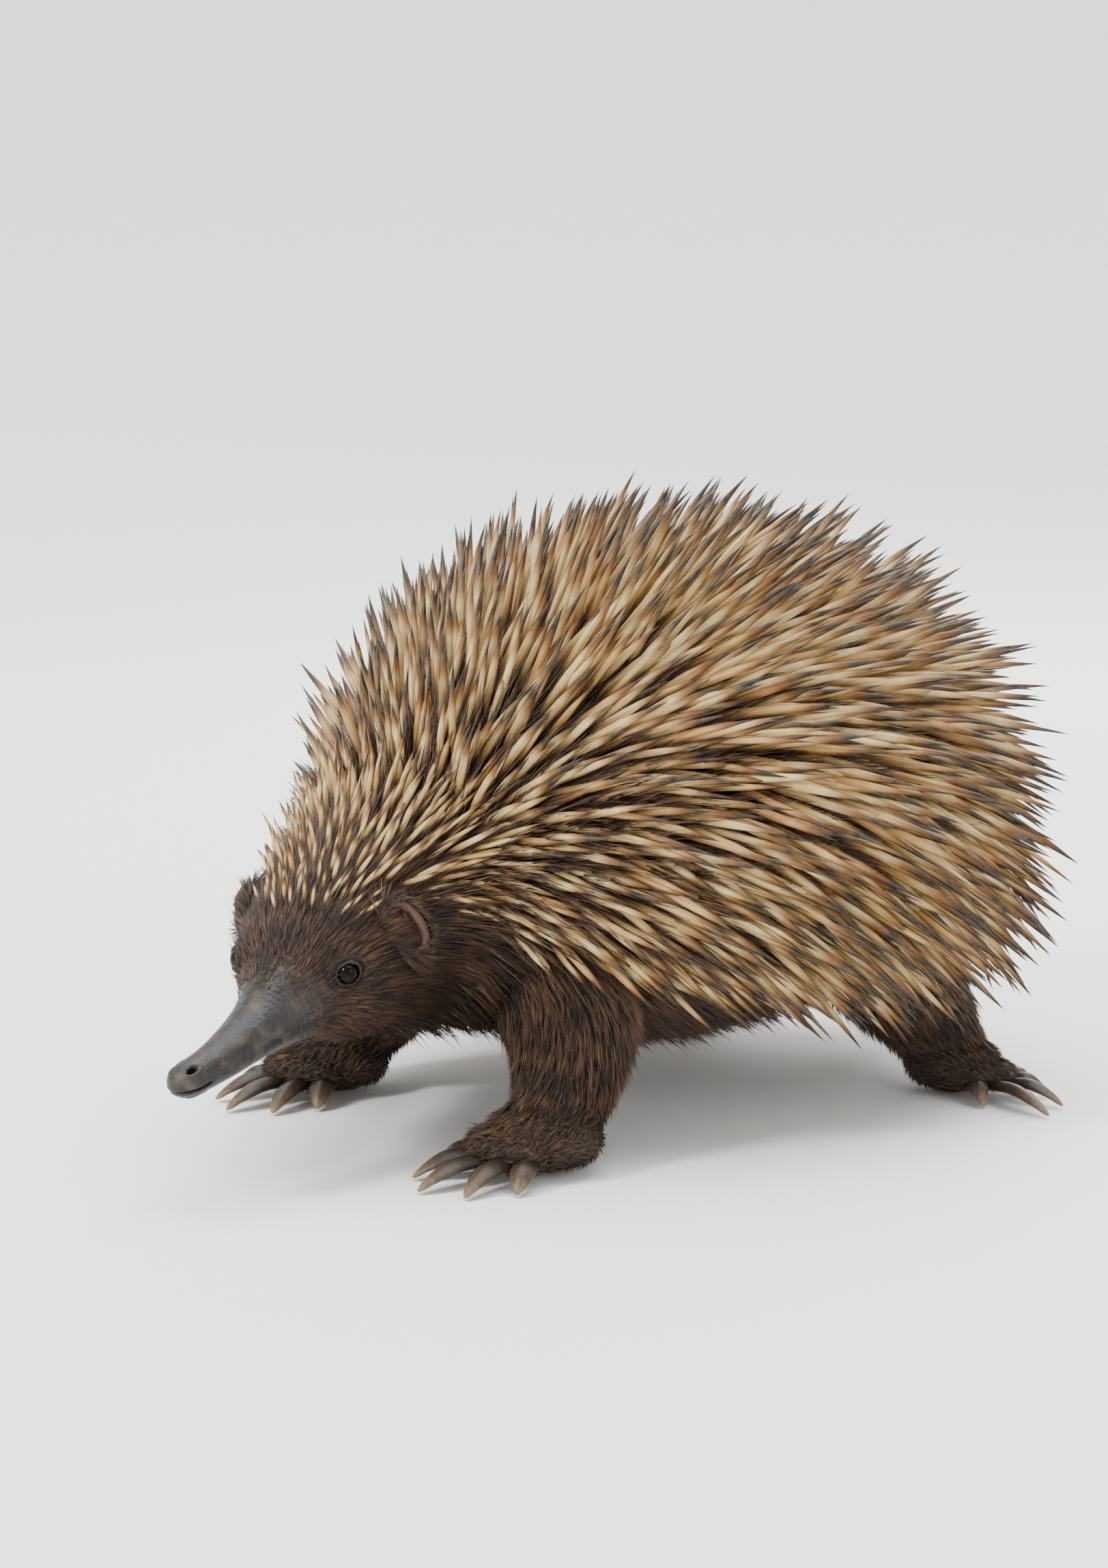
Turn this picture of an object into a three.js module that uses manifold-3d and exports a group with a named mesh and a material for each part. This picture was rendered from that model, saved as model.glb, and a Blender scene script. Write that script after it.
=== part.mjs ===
// A short-beaked echidna, life size, standing square with its head low and turned to its left.
// Millimetres, +Z up. The animal faces -Y and its left side is +X.
import * as THREE from "three";
import { mergeVertices } from "three/addons/utils/BufferGeometryUtils.js";
import Module from "manifold-3d";

const wasm = await Module();
wasm.setup();

// Driving sizes of an adult of about 4.5 kg.
const TRUNK_LENGTH = 228; // rump to the base of the neck
const TRUNK_WIDTH = 198;
const BACK_HEIGHT = 188; // floor to the top of the coat, without the spines
const BELLY_HEIGHT = 26;
const HEAD_WIDTH = 66;
const BEAK_LENGTH = 60;
const EYE_RADIUS = 4.6;
const SPINE_LENGTH = 47; // the part that shows, on the flank
const SPINE_RADIUS = 2.2;
const HEAD_TURN = 16; // degrees to the animal's left
const HEAD_DROP = 21; // degrees below the horizon

const SEAM = 0.3; // gap between two nodes that meet
const ROOM = 1.2; // what a spine keeps clear of a leg, an ear or the tail
const FINEST = 0.02; // slivers thinner than this are closed up
const FRONT_Y = -90; // base of the neck
const UP = new THREE.Vector3(0, 0, 1);
const LEFT = new THREE.Vector3(1, 0, 0);
const vec = (x, y, z) => new THREE.Vector3(x, y, z);
const radians = THREE.MathUtils.degToRad;

// Colours of the living animal.
const finish = (name, color, roughness) => new THREE.MeshStandardMaterial({ name, color, roughness });
const SPINY_COAT = finish("spiny coat", 0xc9b48a, 0.6);
const FUR = finish("dark fur", 0x3b2a1e, 0.9);
const BEAK_SKIN = finish("beak skin", 0x3a3838, 0.45);
const CLAW_HORN = finish("claw horn", 0x4a4038, 0.4);
const EYE = finish("eye", 0x0c0a09, 0.08);

// A form is a line of centres with a half-width, and a height over and under the line, at each.
// across() gives a point on its skin at a share t of the line and an angle from its top.
class Form {
  constructor(stations, { reference = UP, roundStart = 0, roundEnd = 0 } = {}) {
    const curve = (points) => new THREE.CatmullRomCurve3(points, false, "catmullrom", 0.5);
    this.line = curve(stations.map((s) => s.at));
    this.size = curve(stations.map((s) => vec(s.wide, s.over ?? s.wide, s.under ?? s.over ?? s.wide)));
    this.reference = reference;
    this.roundStart = roundStart;
    this.roundEnd = roundEnd;
  }

  // How far a rounded end has drawn in at t: 1 along the form, 0 at the very end.
  taper(t) {
    const closing = (share) => Math.sqrt(Math.max(0, 1 - Math.max(0, share) ** 2));
    const start = this.roundStart ? closing(1 - t / this.roundStart) : 1;
    const end = this.roundEnd ? closing(1 - (1 - t) / this.roundEnd) : 1;
    return start * end;
  }

  axes(t) {
    const along = this.line.getTangent(t);
    const side = vec().crossVectors(this.reference, along).normalize();
    return { along, side, up: vec().crossVectors(along, side) };
  }

  across(t, angle, grow = 0) {
    const { side, up } = this.axes(t);
    const size = this.size.getPoint(t).multiplyScalar(this.taper(t)).addScalar(grow);
    const high = Math.cos(angle) * (Math.cos(angle) > 0 ? size.y : size.z);
    return this.line.getPoint(t).addScaledVector(side, Math.sin(angle) * size.x).addScaledVector(up, high);
  }

  normal(t, angle) {
    const step = 0.004;
    const [before, after] = [Math.max(0, t - step), Math.min(1, t + step)];
    const lengthwise = this.across(after, angle).sub(this.across(before, angle));
    const round = this.across(t, angle + step).sub(this.across(t, angle - step));
    return vec().crossVectors(lengthwise, round).normalize();
  }

  // Where the rings stand between two shares of the line, closer together at a rounded end.
  ringShares(from, to, rings) {
    return Array.from({ length: rings + 1 }, (_, i) => {
      const share = i / rings;
      const easeIn = from === 0 && this.roundStart ? 1 - Math.cos((share * Math.PI) / 2) : share;
      const easeOut = to === 1 && this.roundEnd ? Math.sin((share * Math.PI) / 2) : easeIn;
      return from + (to - from) * easeOut;
    });
  }

  // The closed skin from one share of the line to another, with a flat or a rounded end at each.
  geometry(rings, sides, { from = 0, to = 1, grow = 0 } = {}) {
    const points = [];
    const faces = [];
    for (const t of this.ringShares(from, to, rings))
      for (let j = 0; j < sides; j++) points.push(this.across(t, (j / sides) * 2 * Math.PI, grow));
    for (let i = 0; i < rings; i++)
      for (let j = 0; j < sides; j++) {
        const [a, b] = [i * sides + j, i * sides + ((j + 1) % sides)];
        faces.push(a, a + sides, b, b, a + sides, b + sides);
      }
    const close = (first, t, flip) => {
      const middle = points.push(this.line.getPoint(t)) - 1;
      for (let j = 0; j < sides; j++) {
        const pair = [first + j, first + ((j + 1) % sides)];
        faces.push(middle, ...(flip ? pair : pair.reverse()));
      }
    };
    close(0, from, true);
    close(rings * sides, to, false);
    return new THREE.BufferGeometry().setFromPoints(points).setIndex(faces);
  }
}

// A closed geometry as a solid that can be joined and cut, with the faces that closed up left out.
function solid(geometry) {
  const bare = geometry.clone();
  bare.deleteAttribute("normal");
  bare.deleteAttribute("uv");
  const merged = mergeVertices(bare, 1e-3);
  const faces = [];
  for (let i = 0; i < merged.index.count; i += 3) {
    const [a, b, c] = merged.index.array.slice(i, i + 3);
    if (a !== b && b !== c && c !== a) faces.push(a, b, c);
  }
  const vertProperties = merged.attributes.position.array;
  return new wasm.Manifold(new wasm.Mesh({ numProp: 3, vertProperties, triVerts: new Uint32Array(faces) }));
}

const joined = (...solids) => wasm.Manifold.union(solids.flat());
const largest = (made) => made.decompose().sort((a, b) => b.volume() - a.volume())[0];

function mesh(name, made, material) {
  const { vertProperties, triVerts } = largest(made).simplify(FINEST).getMesh();
  const geometry = new THREE.BufferGeometry();
  geometry.setAttribute("position", new THREE.BufferAttribute(new Float32Array(vertProperties), 3));
  geometry.setIndex(new THREE.BufferAttribute(new Uint32Array(triVerts), 1));
  geometry.computeVertexNormals();
  const piece = new THREE.Mesh(geometry, material);
  piece.name = name;
  return piece;
}

// Puts a geometry at a place on a form: its X runs forward, its Y up along the skin, its Z out of it.
function placed(geometry, { at, forward, up, out }) {
  const turn = new THREE.Matrix4().makeBasis(forward, up, out).setPosition(at);
  return solid(geometry.applyMatrix4(turn));
}

// A ball stretched to three half-sizes.
function ball(halves, place, sides = 14) {
  return placed(new THREE.SphereGeometry(1, sides, Math.ceil(sides * 0.6)).scale(...halves), place);
}

// The place on a form's skin at a share of its line and an angle from its top, raised along the skin's normal.
function spot(form, t, angle, raised = 0) {
  const out = form.normal(t, angle);
  const { along } = form.axes(t);
  const forward = along.addScaledVector(out, -along.dot(out)).normalize();
  const at = form.across(t, angle).addScaledVector(out, raised);
  return { at, forward, up: vec().crossVectors(out, forward), out };
}

// Below the floor: what reaches into it is cut off, which leaves a small flat.
const UNDERGROUND = solid(new THREE.BoxGeometry(800, 800, 100).translate(0, 0, -50));

// The trunk from the rump forward: share of its length, and sizes as shares of the largest.
const TRUNK = [
  { along: 0.0, wide: 0.62, back: 0.76, belly: 2.3 },
  { along: 0.17, wide: 0.85, back: 0.9, belly: 1.5 },
  { along: 0.39, wide: 0.99, back: 0.99, belly: 1.08 },
  { along: 0.61, wide: 1.0, back: 1.0, belly: 1.0 },
  { along: 0.82, wide: 0.87, back: 0.89, belly: 1.15 },
  { along: 1.0, wide: 0.6, back: 0.69, belly: 1.6 },
];
const WAIST = 0.44; // height of the widest line, as a share from belly to back

function trunkStation({ along, wide, back, belly }) {
  const [top, bottom] = [back * BACK_HEIGHT, belly * BELLY_HEIGHT];
  const middle = bottom + WAIST * (top - bottom);
  const y = FRONT_Y + (1 - along) * TRUNK_LENGTH;
  return { at: vec(0, y, middle), wide: (wide * TRUNK_WIDTH) / 2, over: top - middle, under: middle - bottom };
}

// The neck, head and beak: each step along the line, how much of the turn and drop it has,
// and its half-width, height over and height under as shares of half the head's width.
const HEAD = [
  { step: 26, bend: 0.35, wide: 1.3, over: 1.2, under: 1.08 },
  { step: 24, bend: 0.8, wide: 1.05, over: 0.98, under: 0.86 },
  { step: 17, bend: 1.0, wide: 0.88, over: 0.8, under: 0.66 },
  { step: 13, bend: 1.0, wide: 0.53, over: 0.48, under: 0.42 },
  { step: 0.24 * BEAK_LENGTH, bend: 1.0, wide: 0.34, over: 0.3, under: 0.29 },
  { step: 0.38 * BEAK_LENGTH, bend: 0.86, wide: 0.235, over: 0.205, under: 0.205 },
  { step: 0.38 * BEAK_LENGTH, bend: 0.64, wide: 0.19, over: 0.165, under: 0.165 },
];

function headStations(start) {
  const at = start.clone();
  return HEAD.map(({ step, bend, wide, over, under }) => {
    const [turn, drop] = [radians(HEAD_TURN) * Math.min(1, bend * 1.2), radians(HEAD_DROP) * bend];
    const flat = Math.cos(drop);
    at.add(vec(Math.sin(turn) * flat, -Math.cos(turn) * flat, -Math.sin(drop)).multiplyScalar(step));
    const half = HEAD_WIDTH / 2;
    return { at: at.clone(), wide: wide * half, over: over * half, under: under * half };
  });
}

const trunkStations = TRUNK.map(trunkStation);
const bodyStations = [...trunkStations, ...headStations(trunkStations.at(-1).at)];
const lastStation = bodyStations.length - 1;
const body = new Form(bodyStations, { roundStart: 1 / lastStation, roundEnd: 0.3 / lastStation });

// The spiny coat by station of the body's line: length of a spine, how far round from the top it
// grows, its lean back from the skin's normal, and the distance between spines.
const COAT = [
  { station: 0, long: 0.86, reach: 180, lean: 8, apart: 19.2 },
  { station: 1, long: 1.04, reach: 134, lean: 26, apart: 19.8 },
  { station: 2, long: 1.06, reach: 126, lean: 36, apart: 20.8 },
  { station: 3, long: 1.0, reach: 124, lean: 35, apart: 20.4 },
  { station: 4, long: 0.86, reach: 118, lean: 30, apart: 18 },
  { station: 5, long: 0.68, reach: 104, lean: 26, apart: 14.4 },
  { station: 6, long: 0.48, reach: 74, lean: 28, apart: 11 },
  { station: 7, long: 0.3, reach: 56, lean: 36, apart: 9.4 },
  { station: 7.7, long: 0.2, reach: 36, lean: 44, apart: 9 },
];

// The coat's figures at a share of the body's line, read between the two nearest stations.
function coatAt(t) {
  const station = t * lastStation;
  const next = Math.max(1, COAT.findIndex((row) => row.station > station));
  const [before, after] = [COAT[next - 1], COAT[next]];
  const share = (station - before.station) / (after.station - before.station);
  const mix = (key) => before[key] + share * (after[key] - before[key]);
  return {
    long: mix("long") * SPINE_LENGTH,
    reach: radians(mix("reach")),
    lean: radians(mix("lean")),
    apart: mix("apart"),
  };
}

// The lengths that the body is parted into, by stations of its line, with the rings and sides of each.
const PIECES = {
  rump: { from: 0, to: 2.05, rings: 7, sides: 24 },
  torso: { from: 2.05, to: 4.9, rings: 5, sides: 24 },
  neck: { from: 4.9, to: 6.35, rings: 3, sides: 24 },
  head: { from: 6.35, to: 9, rings: 8, sides: 24 },
  beak: { from: 9, to: lastStation, rings: 9, sides: 16 },
};
const share = (station) => station / lastStation;

// The share of the body's line that a length in millimetres takes up at t.
function shareOfLength(length, t) {
  const [before, after] = [Math.max(0, t - 1e-3), Math.min(1, t + 1e-3)];
  return (length * (after - before)) / body.line.getPoint(before).distanceTo(body.line.getPoint(after));
}

// A length of the body. Its cut ends stand back by half a seam, or reach over it where the form is grown.
function bodyPiece(name, grow = 0, reachOver = false) {
  const { from, to, rings, sides } = PIECES[name];
  const trim = (t) => shareOfLength(reachOver ? -SEAM : 0.5 * SEAM, t);
  const start = from ? share(from) + trim(share(from)) : 0;
  const end = to < lastStation ? share(to) - trim(share(to)) : 1;
  return solid(body.geometry(rings, sides, { from: start, to: end, grow }));
}

const grownPieces = Object.fromEntries(Object.keys(PIECES).map((name) => [name, bodyPiece(name, SEAM, true)]));
const bodyCore = joined(Object.values(grownPieces));

// Each eye is a ball sunk into the head by nearly half, inside a raised ring of lid.
const EYE_STATION = 8.3;
const EYE_ANGLE = radians(66);
const EYE_SUNK = 0.4; // share of its radius that its centre lies under the skin
const LID_RADIUS = 1.7;
const LID_OPENING = 0.55; // how much wider than the eye the middle of the lid runs

function eyeParts(side) {
  const place = spot(body, share(EYE_STATION), side * EYE_ANGLE, -EYE_SUNK * EYE_RADIUS);
  const sphere = (radius) => ball([radius, radius, radius], place, 12);
  const lidPlace = spot(body, share(EYE_STATION), side * EYE_ANGLE);
  const ring = new THREE.TorusGeometry(EYE_RADIUS + LID_OPENING, LID_RADIUS, 4, 12).scale(1.12, 0.92, 1);
  return { eye: sphere(EYE_RADIUS), socket: sphere(EYE_RADIUS + SEAM), lid: placed(ring, lidPlace) };
}

// Each ear is a low upright cup behind the eye, open forwards and outwards.
const EAR_STATION = 6.9;
const EAR_ANGLE = radians(64);
const EAR = { long: 7.5, high: 13, proud: 8 };

function earParts(side) {
  const place = spot(body, share(EAR_STATION), side * EAR_ANGLE);
  const hollow = spot(body, share(EAR_STATION), side * EAR_ANGLE, 0.55 * EAR.proud);
  hollow.at.addScaledVector(hollow.forward, 0.3 * EAR.long);
  const outer = ball([EAR.long, EAR.high, EAR.proud], place, 10);
  const cup = ball([0.72 * EAR.long, 0.74 * EAR.high, 0.8 * EAR.proud], hollow, 8);
  const room = ball([EAR.long + ROOM, EAR.high + ROOM, EAR.proud + ROOM], place, 12);
  return { ear: outer.subtract(cup).subtract(bodyCore), room };
}

// The beak's tip: two nostrils on top and a short mouth that opens only at the end.
const NOSTRIL = { station: 11.72, angle: radians(38), halves: [1.9, 1.0, 1.3] };
const MOUTH = { long: 13, gap: 0.8, under: 1.8 }; // under the middle of the tip

function beakSolid() {
  const nostril = (side) => ball(NOSTRIL.halves, spot(body, share(NOSTRIL.station), side * NOSTRIL.angle), 10);
  const { along, up } = body.axes(0.995);
  const at = body.line.getPoint(1).addScaledVector(up, -MOUTH.under);
  const slit = new THREE.BoxGeometry(2 * MOUTH.long, MOUTH.gap, HEAD_WIDTH / 2);
  const place = { at, forward: along, up, out: vec().crossVectors(along, up) };
  return bodyPiece("beak").subtract(joined(nostril(1), nostril(-1), placed(slit, place)));
}

// A limb runs from inside the trunk to the paw: distance out, distance back, height and half-width at
// each station. The paw's half-sizes are its width, length and height. Its toes fan out either side of
// the direction that it aims in, in degrees from straight ahead, and reach so far from its middle.
const LIMBS = {
  fore: {
    line: [[32, 2, 74, 27], [56, -2, 48, 24], [66, -12, 27, 19], [70, -22, 15, 17]],
    y: -60, stride: -9, paw: [23, 20, 13], aim: -4, fan: 19, reach: 29, toe: 6.6,
    claws: [12, 20, 24, 21, 13], hook: 1.5,
  },
  hind: {
    line: [[40, 0, 76, 30], [68, -4, 48, 26], [80, 4, 27, 19], [86, 8, 15, 16.5]],
    y: 80, stride: 7, paw: [19, 19, 12.5], aim: 100, fan: 18, reach: 25, toe: 5.6,
    claws: [9, 30, 22, 14, 11], hook: 4,
  },
};
const SOLE_FLAT = 1.5; // how much of the paw's underside the floor cuts off
const CLAW_TIP_HEIGHT = 1.3;

// Toes and claws are drawn along a line out from the paw, given as distance and height.
const toeForm = (from, end, wide) => new Form([
  { at: from(0.35 * end, 1.6 * wide), wide },
  { at: from(0.8 * end, 1.5 * wide), wide },
  { at: from(end, 1.2 * wide), wide: 0.86 * wide },
]);

const clawForm = (from, start, long, high, wide, hook) => new Form([
  { at: from(start, high), wide, over: 0.62 * wide },
  { at: from(start + 0.4 * long, 0.86 * high + 0.4 * hook), wide: 1.02 * wide, over: 0.6 * wide },
  { at: from(start + 0.76 * long, 0.52 * high + 0.3 * hook), wide: 0.84 * wide, over: 0.44 * wide },
  { at: from(start + long, CLAW_TIP_HEIGHT), wide: 0.45 * wide, over: 0.26 * wide },
], { roundEnd: 0.15 });

function limbParts(name, side) {
  const { line, y, stride, paw, aim, fan, reach, toe, claws: lengths, hook } = LIMBS[name];
  const station = ([out, back, high, wide]) => ({ at: vec(side * out, y + side * stride + back, high), wide });
  const leg = new Form(line.map(station), { reference: LEFT });
  const legSolid = (grow) => solid(leg.geometry(5, 12, { grow }));

  const heading = (degrees) => vec(side * Math.sin(radians(degrees)), -Math.cos(radians(degrees)), 0);
  const [halfWide, halfLong, halfHigh] = paw;
  const forward = heading(aim);
  const middle = leg.line.getPoint(1).setZ(halfHigh - SOLE_FLAT).addScaledVector(forward, 3);
  const place = { at: middle, forward, up: vec().crossVectors(UP, forward), out: UP };
  const palm = (grow) => ball([halfLong + grow, halfWide + grow, halfHigh + grow], place, 12);

  const toes = [];
  const claws = [];
  lengths.forEach((long, i) => {
    const towards = heading(aim + (i - 2) * fan);
    const from = (distance, height) => middle.clone().addScaledVector(towards, distance).setZ(height);
    const end = reach - 2.2 * Math.abs(i - 2);
    toes.push(toeForm(from, end, toe));
    claws.push(clawForm(from, end + SEAM, long, 1.15 * toe, 0.64 * toe, hook));
  });
  const toeSolids = (grow) => toes.map((form) => solid(form.geometry(2, 8, { grow })));
  const clear = joined(palm(SEAM), toeSolids(SEAM), UNDERGROUND);
  return {
    leg: joined(legSolid(0), palm(0), toeSolids(0)).subtract(joined(bodyCore, UNDERGROUND)),
    claws: claws.map((form) => solid(form.geometry(3, 6)).subtract(clear)),
    room: joined(legSolid(ROOM), palm(ROOM)),
  };
}

// The tail is a short stub under the rump's spines, with a few of its own.
const tailForm = new Form([
  { at: vec(0, 124, 74), wide: 21, over: 18 },
  { at: vec(0, 143, 60), wide: 17, over: 14 },
  { at: vec(0, 156, 48), wide: 12, over: 9 },
  { at: vec(0, 162, 41), wide: 8, over: 6.5 },
], { roundEnd: 0.25 });
const tail = (grow) => solid(tailForm.geometry(5, 12, { grow }));

const SIDES = { left: 1, right: -1 };
const eyes = Object.entries(SIDES).map(([name, side]) => ({ name, ...eyeParts(side) }));
const ears = Object.entries(SIDES).map(([name, side]) => ({ name, ...earParts(side) }));
const limbs = Object.entries(SIDES).flatMap(([name, side]) =>
  Object.keys(LIMBS).map((limb) => ({ limb, name, ...limbParts(limb, side) })));

// Values between two ends at which a curve has moved on by equal steps of about a given size.
function evenSteps(curve, from, to, step, shift = 0) {
  const samples = Array.from({ length: 61 }, (_, i) => from + ((to - from) * i) / 60);
  const points = samples.map(curve);
  const reached = points.map(() => 0);
  for (let i = 1; i < points.length; i++) reached[i] = reached[i - 1] + points[i].distanceTo(points[i - 1]);
  const count = Math.max(1, Math.round(reached.at(-1) / step));
  return Array.from({ length: count }, (_, k) => {
    const wanted = ((k + 0.5 + shift) / count) * reached.at(-1);
    const i = Math.max(1, reached.findIndex((length) => length >= wanted));
    const share = (wanted - reached[i - 1]) / (reached[i] - reached[i - 1]);
    return samples[i - 1] + share * (samples[i] - samples[i - 1]);
  });
}

// A spine keeps its thickness to its shoulder, then tapers to a point that is bent back a little.
// Its root is narrower and sunk in the skin.
const SHOULDER = 0.6; // share of its length
const ROOT_WIDTH = 0.7; // share of its width
const SPINE_SIDES = 4;
const rootDepth = (radius) => 2.4 * radius + 1.5;

function spineSolid({ points: [root, shoulder, tip], radius }) {
  const profile = [
    new THREE.Vector2(0, -rootDepth(radius)),
    new THREE.Vector2(ROOT_WIDTH * radius, -rootDepth(radius)),
    new THREE.Vector2(radius, root.distanceTo(shoulder)),
    new THREE.Vector2(0, root.distanceTo(tip)),
  ];
  const aim = shoulder.clone().sub(root).normalize();
  const across = UP.clone().cross(aim).normalize();
  const turn = new THREE.Matrix4().makeBasis(aim.clone().cross(across), aim, across).setPosition(root);
  const shaft = new THREE.LatheGeometry(profile, SPINE_SIDES).applyMatrix4(turn);
  const ends = shaft.attributes.position;
  for (let i = profile.length - 1; i < ends.count; i += profile.length) ends.setXYZ(i, ...tip);
  return solid(shaft);
}

THREE.MathUtils.seededRandom(7);
const vary = (amount) => amount * (2 * THREE.MathUtils.seededRandom() - 1);

const grown = []; // every spine so far, so that no two cross

function gapBetween(a, b) {
  const halves = ({ points: [root, shoulder, tip] }) => [[root, shoulder], [shoulder, tip]];
  const lines = (spine) => halves(spine).map((ends) => new THREE.Line3(...ends));
  const squares = lines(a).flatMap((one) => lines(b).map((other) => one.distanceSqToLine3(other)));
  return Math.sqrt(Math.min(...squares)) - a.radius - b.radius;
}

// Grows one spine at a place on the skin. Where it would cross another spine or reach a part in its way,
// it is turned a little further each time, and left out if no direction is clear.
const TRIES = 12;
const SPINE_GAP = 0.5;

function growSpine(form, t, angle, coat, inTheWay) {
  const { at, forward, up, out } = spot(form, t, angle);
  const long = coat.long * (1 + vary(0.11));
  const radius = SPINE_RADIUS * Math.sqrt(long / SPINE_LENGTH);
  const droop = 1.1 * Math.max(0, Math.abs(Math.sin(angle)) - 0.55); // the flank's spines hang down
  const near = grown.filter((other) => other.points[0].distanceTo(at) < 2.5 * SPINE_LENGTH);
  for (let attempt = 0; attempt < TRIES; attempt++) {
    const loose = radians(6 + 3 * attempt);
    const lean = coat.lean + vary(loose);
    const aim = out.clone().multiplyScalar(Math.cos(lean)).addScaledVector(forward, -Math.sin(lean));
    aim.addScaledVector(up, vary(loose)).addScaledVector(UP, -droop).normalize();
    const tipAim = aim.clone().addScaledVector(forward, -0.16 * Math.sign(lean)).addScaledVector(UP, -0.05);
    const shoulder = at.clone().addScaledVector(aim, SHOULDER * long);
    const tip = shoulder.clone().addScaledVector(tipAim.normalize(), (1 - SHOULDER) * long);
    const one = { points: [at, shoulder, tip], radius };
    if (near.some((other) => gapBetween(one, other) < SPINE_GAP)) continue;
    const made = spineSolid(one);
    if (inTheWay.some((part) => !made.intersect(part).isEmpty())) continue;
    grown.push(one);
    return made;
  }
  return null;
}

// The spines of one stretch of a form, in loose, staggered rows.
const ROW_STEP = 0.87; // rows apart, as a share of the distance between the spines of a row

function spinesOn(form, [from, to], coatHere, inTheWay) {
  const shoulderLine = (t) => form.across(t, radians(50));
  const rows = evenSteps(shoulderLine, from, to, ROW_STEP * coatHere((from + to) / 2).apart);
  return rows.flatMap((t, row) => {
    const coat = coatHere(t);
    const stagger = (row % 2 ? 0.25 : -0.25) + vary(0.1);
    return evenSteps((angle) => form.across(t, angle), -coat.reach, coat.reach, coat.apart, stagger)
      .map((angle) => growSpine(form, t, angle, coat, inTheWay))
      .filter((made) => made);
  });
}

// The spines of one length of the body. The rows at its cut ends stand far enough in for their roots.
const END_ROW = 6.5;
const everyRoom = [UNDERGROUND, ...ears.map((e) => e.room), ...limbs.map((l) => l.room)];

function coatOf(name) {
  const { from, to } = PIECES[name];
  const coatEnd = share(COAT.at(-1).station) - 1e-3;
  const inset = (t) => shareOfLength(END_ROW - 0.5 * ROW_STEP * coatAt(t).apart, t);
  const start = from ? share(from) + inset(share(from)) : 0;
  const end = share(to) < coatEnd ? share(to) - inset(share(to)) : coatEnd;
  const others = Object.keys(PIECES).filter((other) => other !== name).map((other) => grownPieces[other]);
  return spinesOn(body, [start, end], coatAt, [...everyRoom, tail(ROOM), ...others]);
}

const TAIL_COAT = { long: 0.4 * SPINE_LENGTH, reach: radians(105), lean: radians(-48), apart: 10.5 };
const tailSpines = () => spinesOn(tailForm, [0.5, 0.9], () => TAIL_COAT, [...everyRoom, bodyCore]);

const headCore = joined(bodyPiece("head"), eyes.map((e) => e.lid)).subtract(joined(eyes.map((e) => e.socket)));
const model = new THREE.Group();
model.add(
  mesh("rump", joined(bodyPiece("rump"), coatOf("rump")), SPINY_COAT),
  mesh("torso", joined(bodyPiece("torso"), coatOf("torso")), SPINY_COAT),
  mesh("neck", joined(bodyPiece("neck"), coatOf("neck")), SPINY_COAT),
  mesh("head", joined(headCore, coatOf("head")), FUR),
  mesh("beak", beakSolid(), BEAK_SKIN),
  mesh("tail", joined(tail(0).subtract(bodyCore), tailSpines()), FUR),
);
for (const { name, eye } of eyes) model.add(mesh(`eye_${name}`, eye, EYE));
for (const { name, ear } of ears) model.add(mesh(`ear_${name}`, ear, FUR));
for (const { limb, name, leg, claws } of limbs) {
  model.add(mesh(`${limb}leg_${name}`, leg, FUR));
  claws.forEach((claw, i) => model.add(mesh(`${limb}claw_${name}_${i + 1}`, claw, CLAW_HORN)));
}

// The origin is on the floor, under the middle of the whole animal.
const extent = new THREE.Box3().setFromObject(model);
const centre = extent.getCenter(vec());
model.position.set(-centre.x, -centre.y, -extent.min.z);

export default model;
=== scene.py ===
# A short-beaked echidna, life size, standing with its head low and turned to its left.
# Metres, +Z up. The animal faces -Y and its left side is +X.
import math

import bpy
import numpy as np
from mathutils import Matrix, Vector


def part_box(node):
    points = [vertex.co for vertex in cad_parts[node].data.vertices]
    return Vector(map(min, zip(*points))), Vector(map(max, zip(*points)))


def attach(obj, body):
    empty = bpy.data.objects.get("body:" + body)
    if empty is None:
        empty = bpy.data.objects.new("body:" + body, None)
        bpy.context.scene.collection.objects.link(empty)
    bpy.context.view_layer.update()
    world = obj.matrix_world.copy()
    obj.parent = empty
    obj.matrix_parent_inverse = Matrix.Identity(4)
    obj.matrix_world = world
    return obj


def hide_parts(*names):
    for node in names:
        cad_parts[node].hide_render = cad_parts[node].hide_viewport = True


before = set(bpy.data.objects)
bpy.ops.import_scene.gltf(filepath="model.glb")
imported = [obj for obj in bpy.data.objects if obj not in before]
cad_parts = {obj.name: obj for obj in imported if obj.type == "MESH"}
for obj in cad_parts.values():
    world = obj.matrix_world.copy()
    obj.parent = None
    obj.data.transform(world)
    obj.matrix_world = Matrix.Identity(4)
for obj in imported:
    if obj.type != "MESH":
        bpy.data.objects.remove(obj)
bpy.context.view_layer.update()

# The hide: one skin over trunk, neck, head, ears, legs and tail. A living hide has no seams where the
# named parts meet, so it is drawn over all of them at once, and it lies under the surface of the fur.
MM = 0.001
TRUNK_LENGTH = 0.228
TRUNK_WIDTH = 0.198
BACK_HEIGHT = 0.188
BELLY_HEIGHT = 0.026
NECK_Y = -0.090
WAIST = 0.44
HEAD_WIDTH = 0.066
BEAK_LENGTH = 0.060
HEAD_TURN = math.radians(16)
HEAD_DROP = math.radians(21)

# Trunk from the rump forward: share of its length, then its width and the heights of back and belly as
# shares of the sizes above.
TRUNK = [
    (0.0, 0.62, 0.76, 2.3),
    (0.17, 0.85, 0.9, 1.5),
    (0.39, 0.99, 0.99, 1.08),
    (0.61, 1.0, 1.0, 1.0),
    (0.82, 0.87, 0.89, 1.15),
    (1.0, 0.6, 0.69, 1.6),
]

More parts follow.
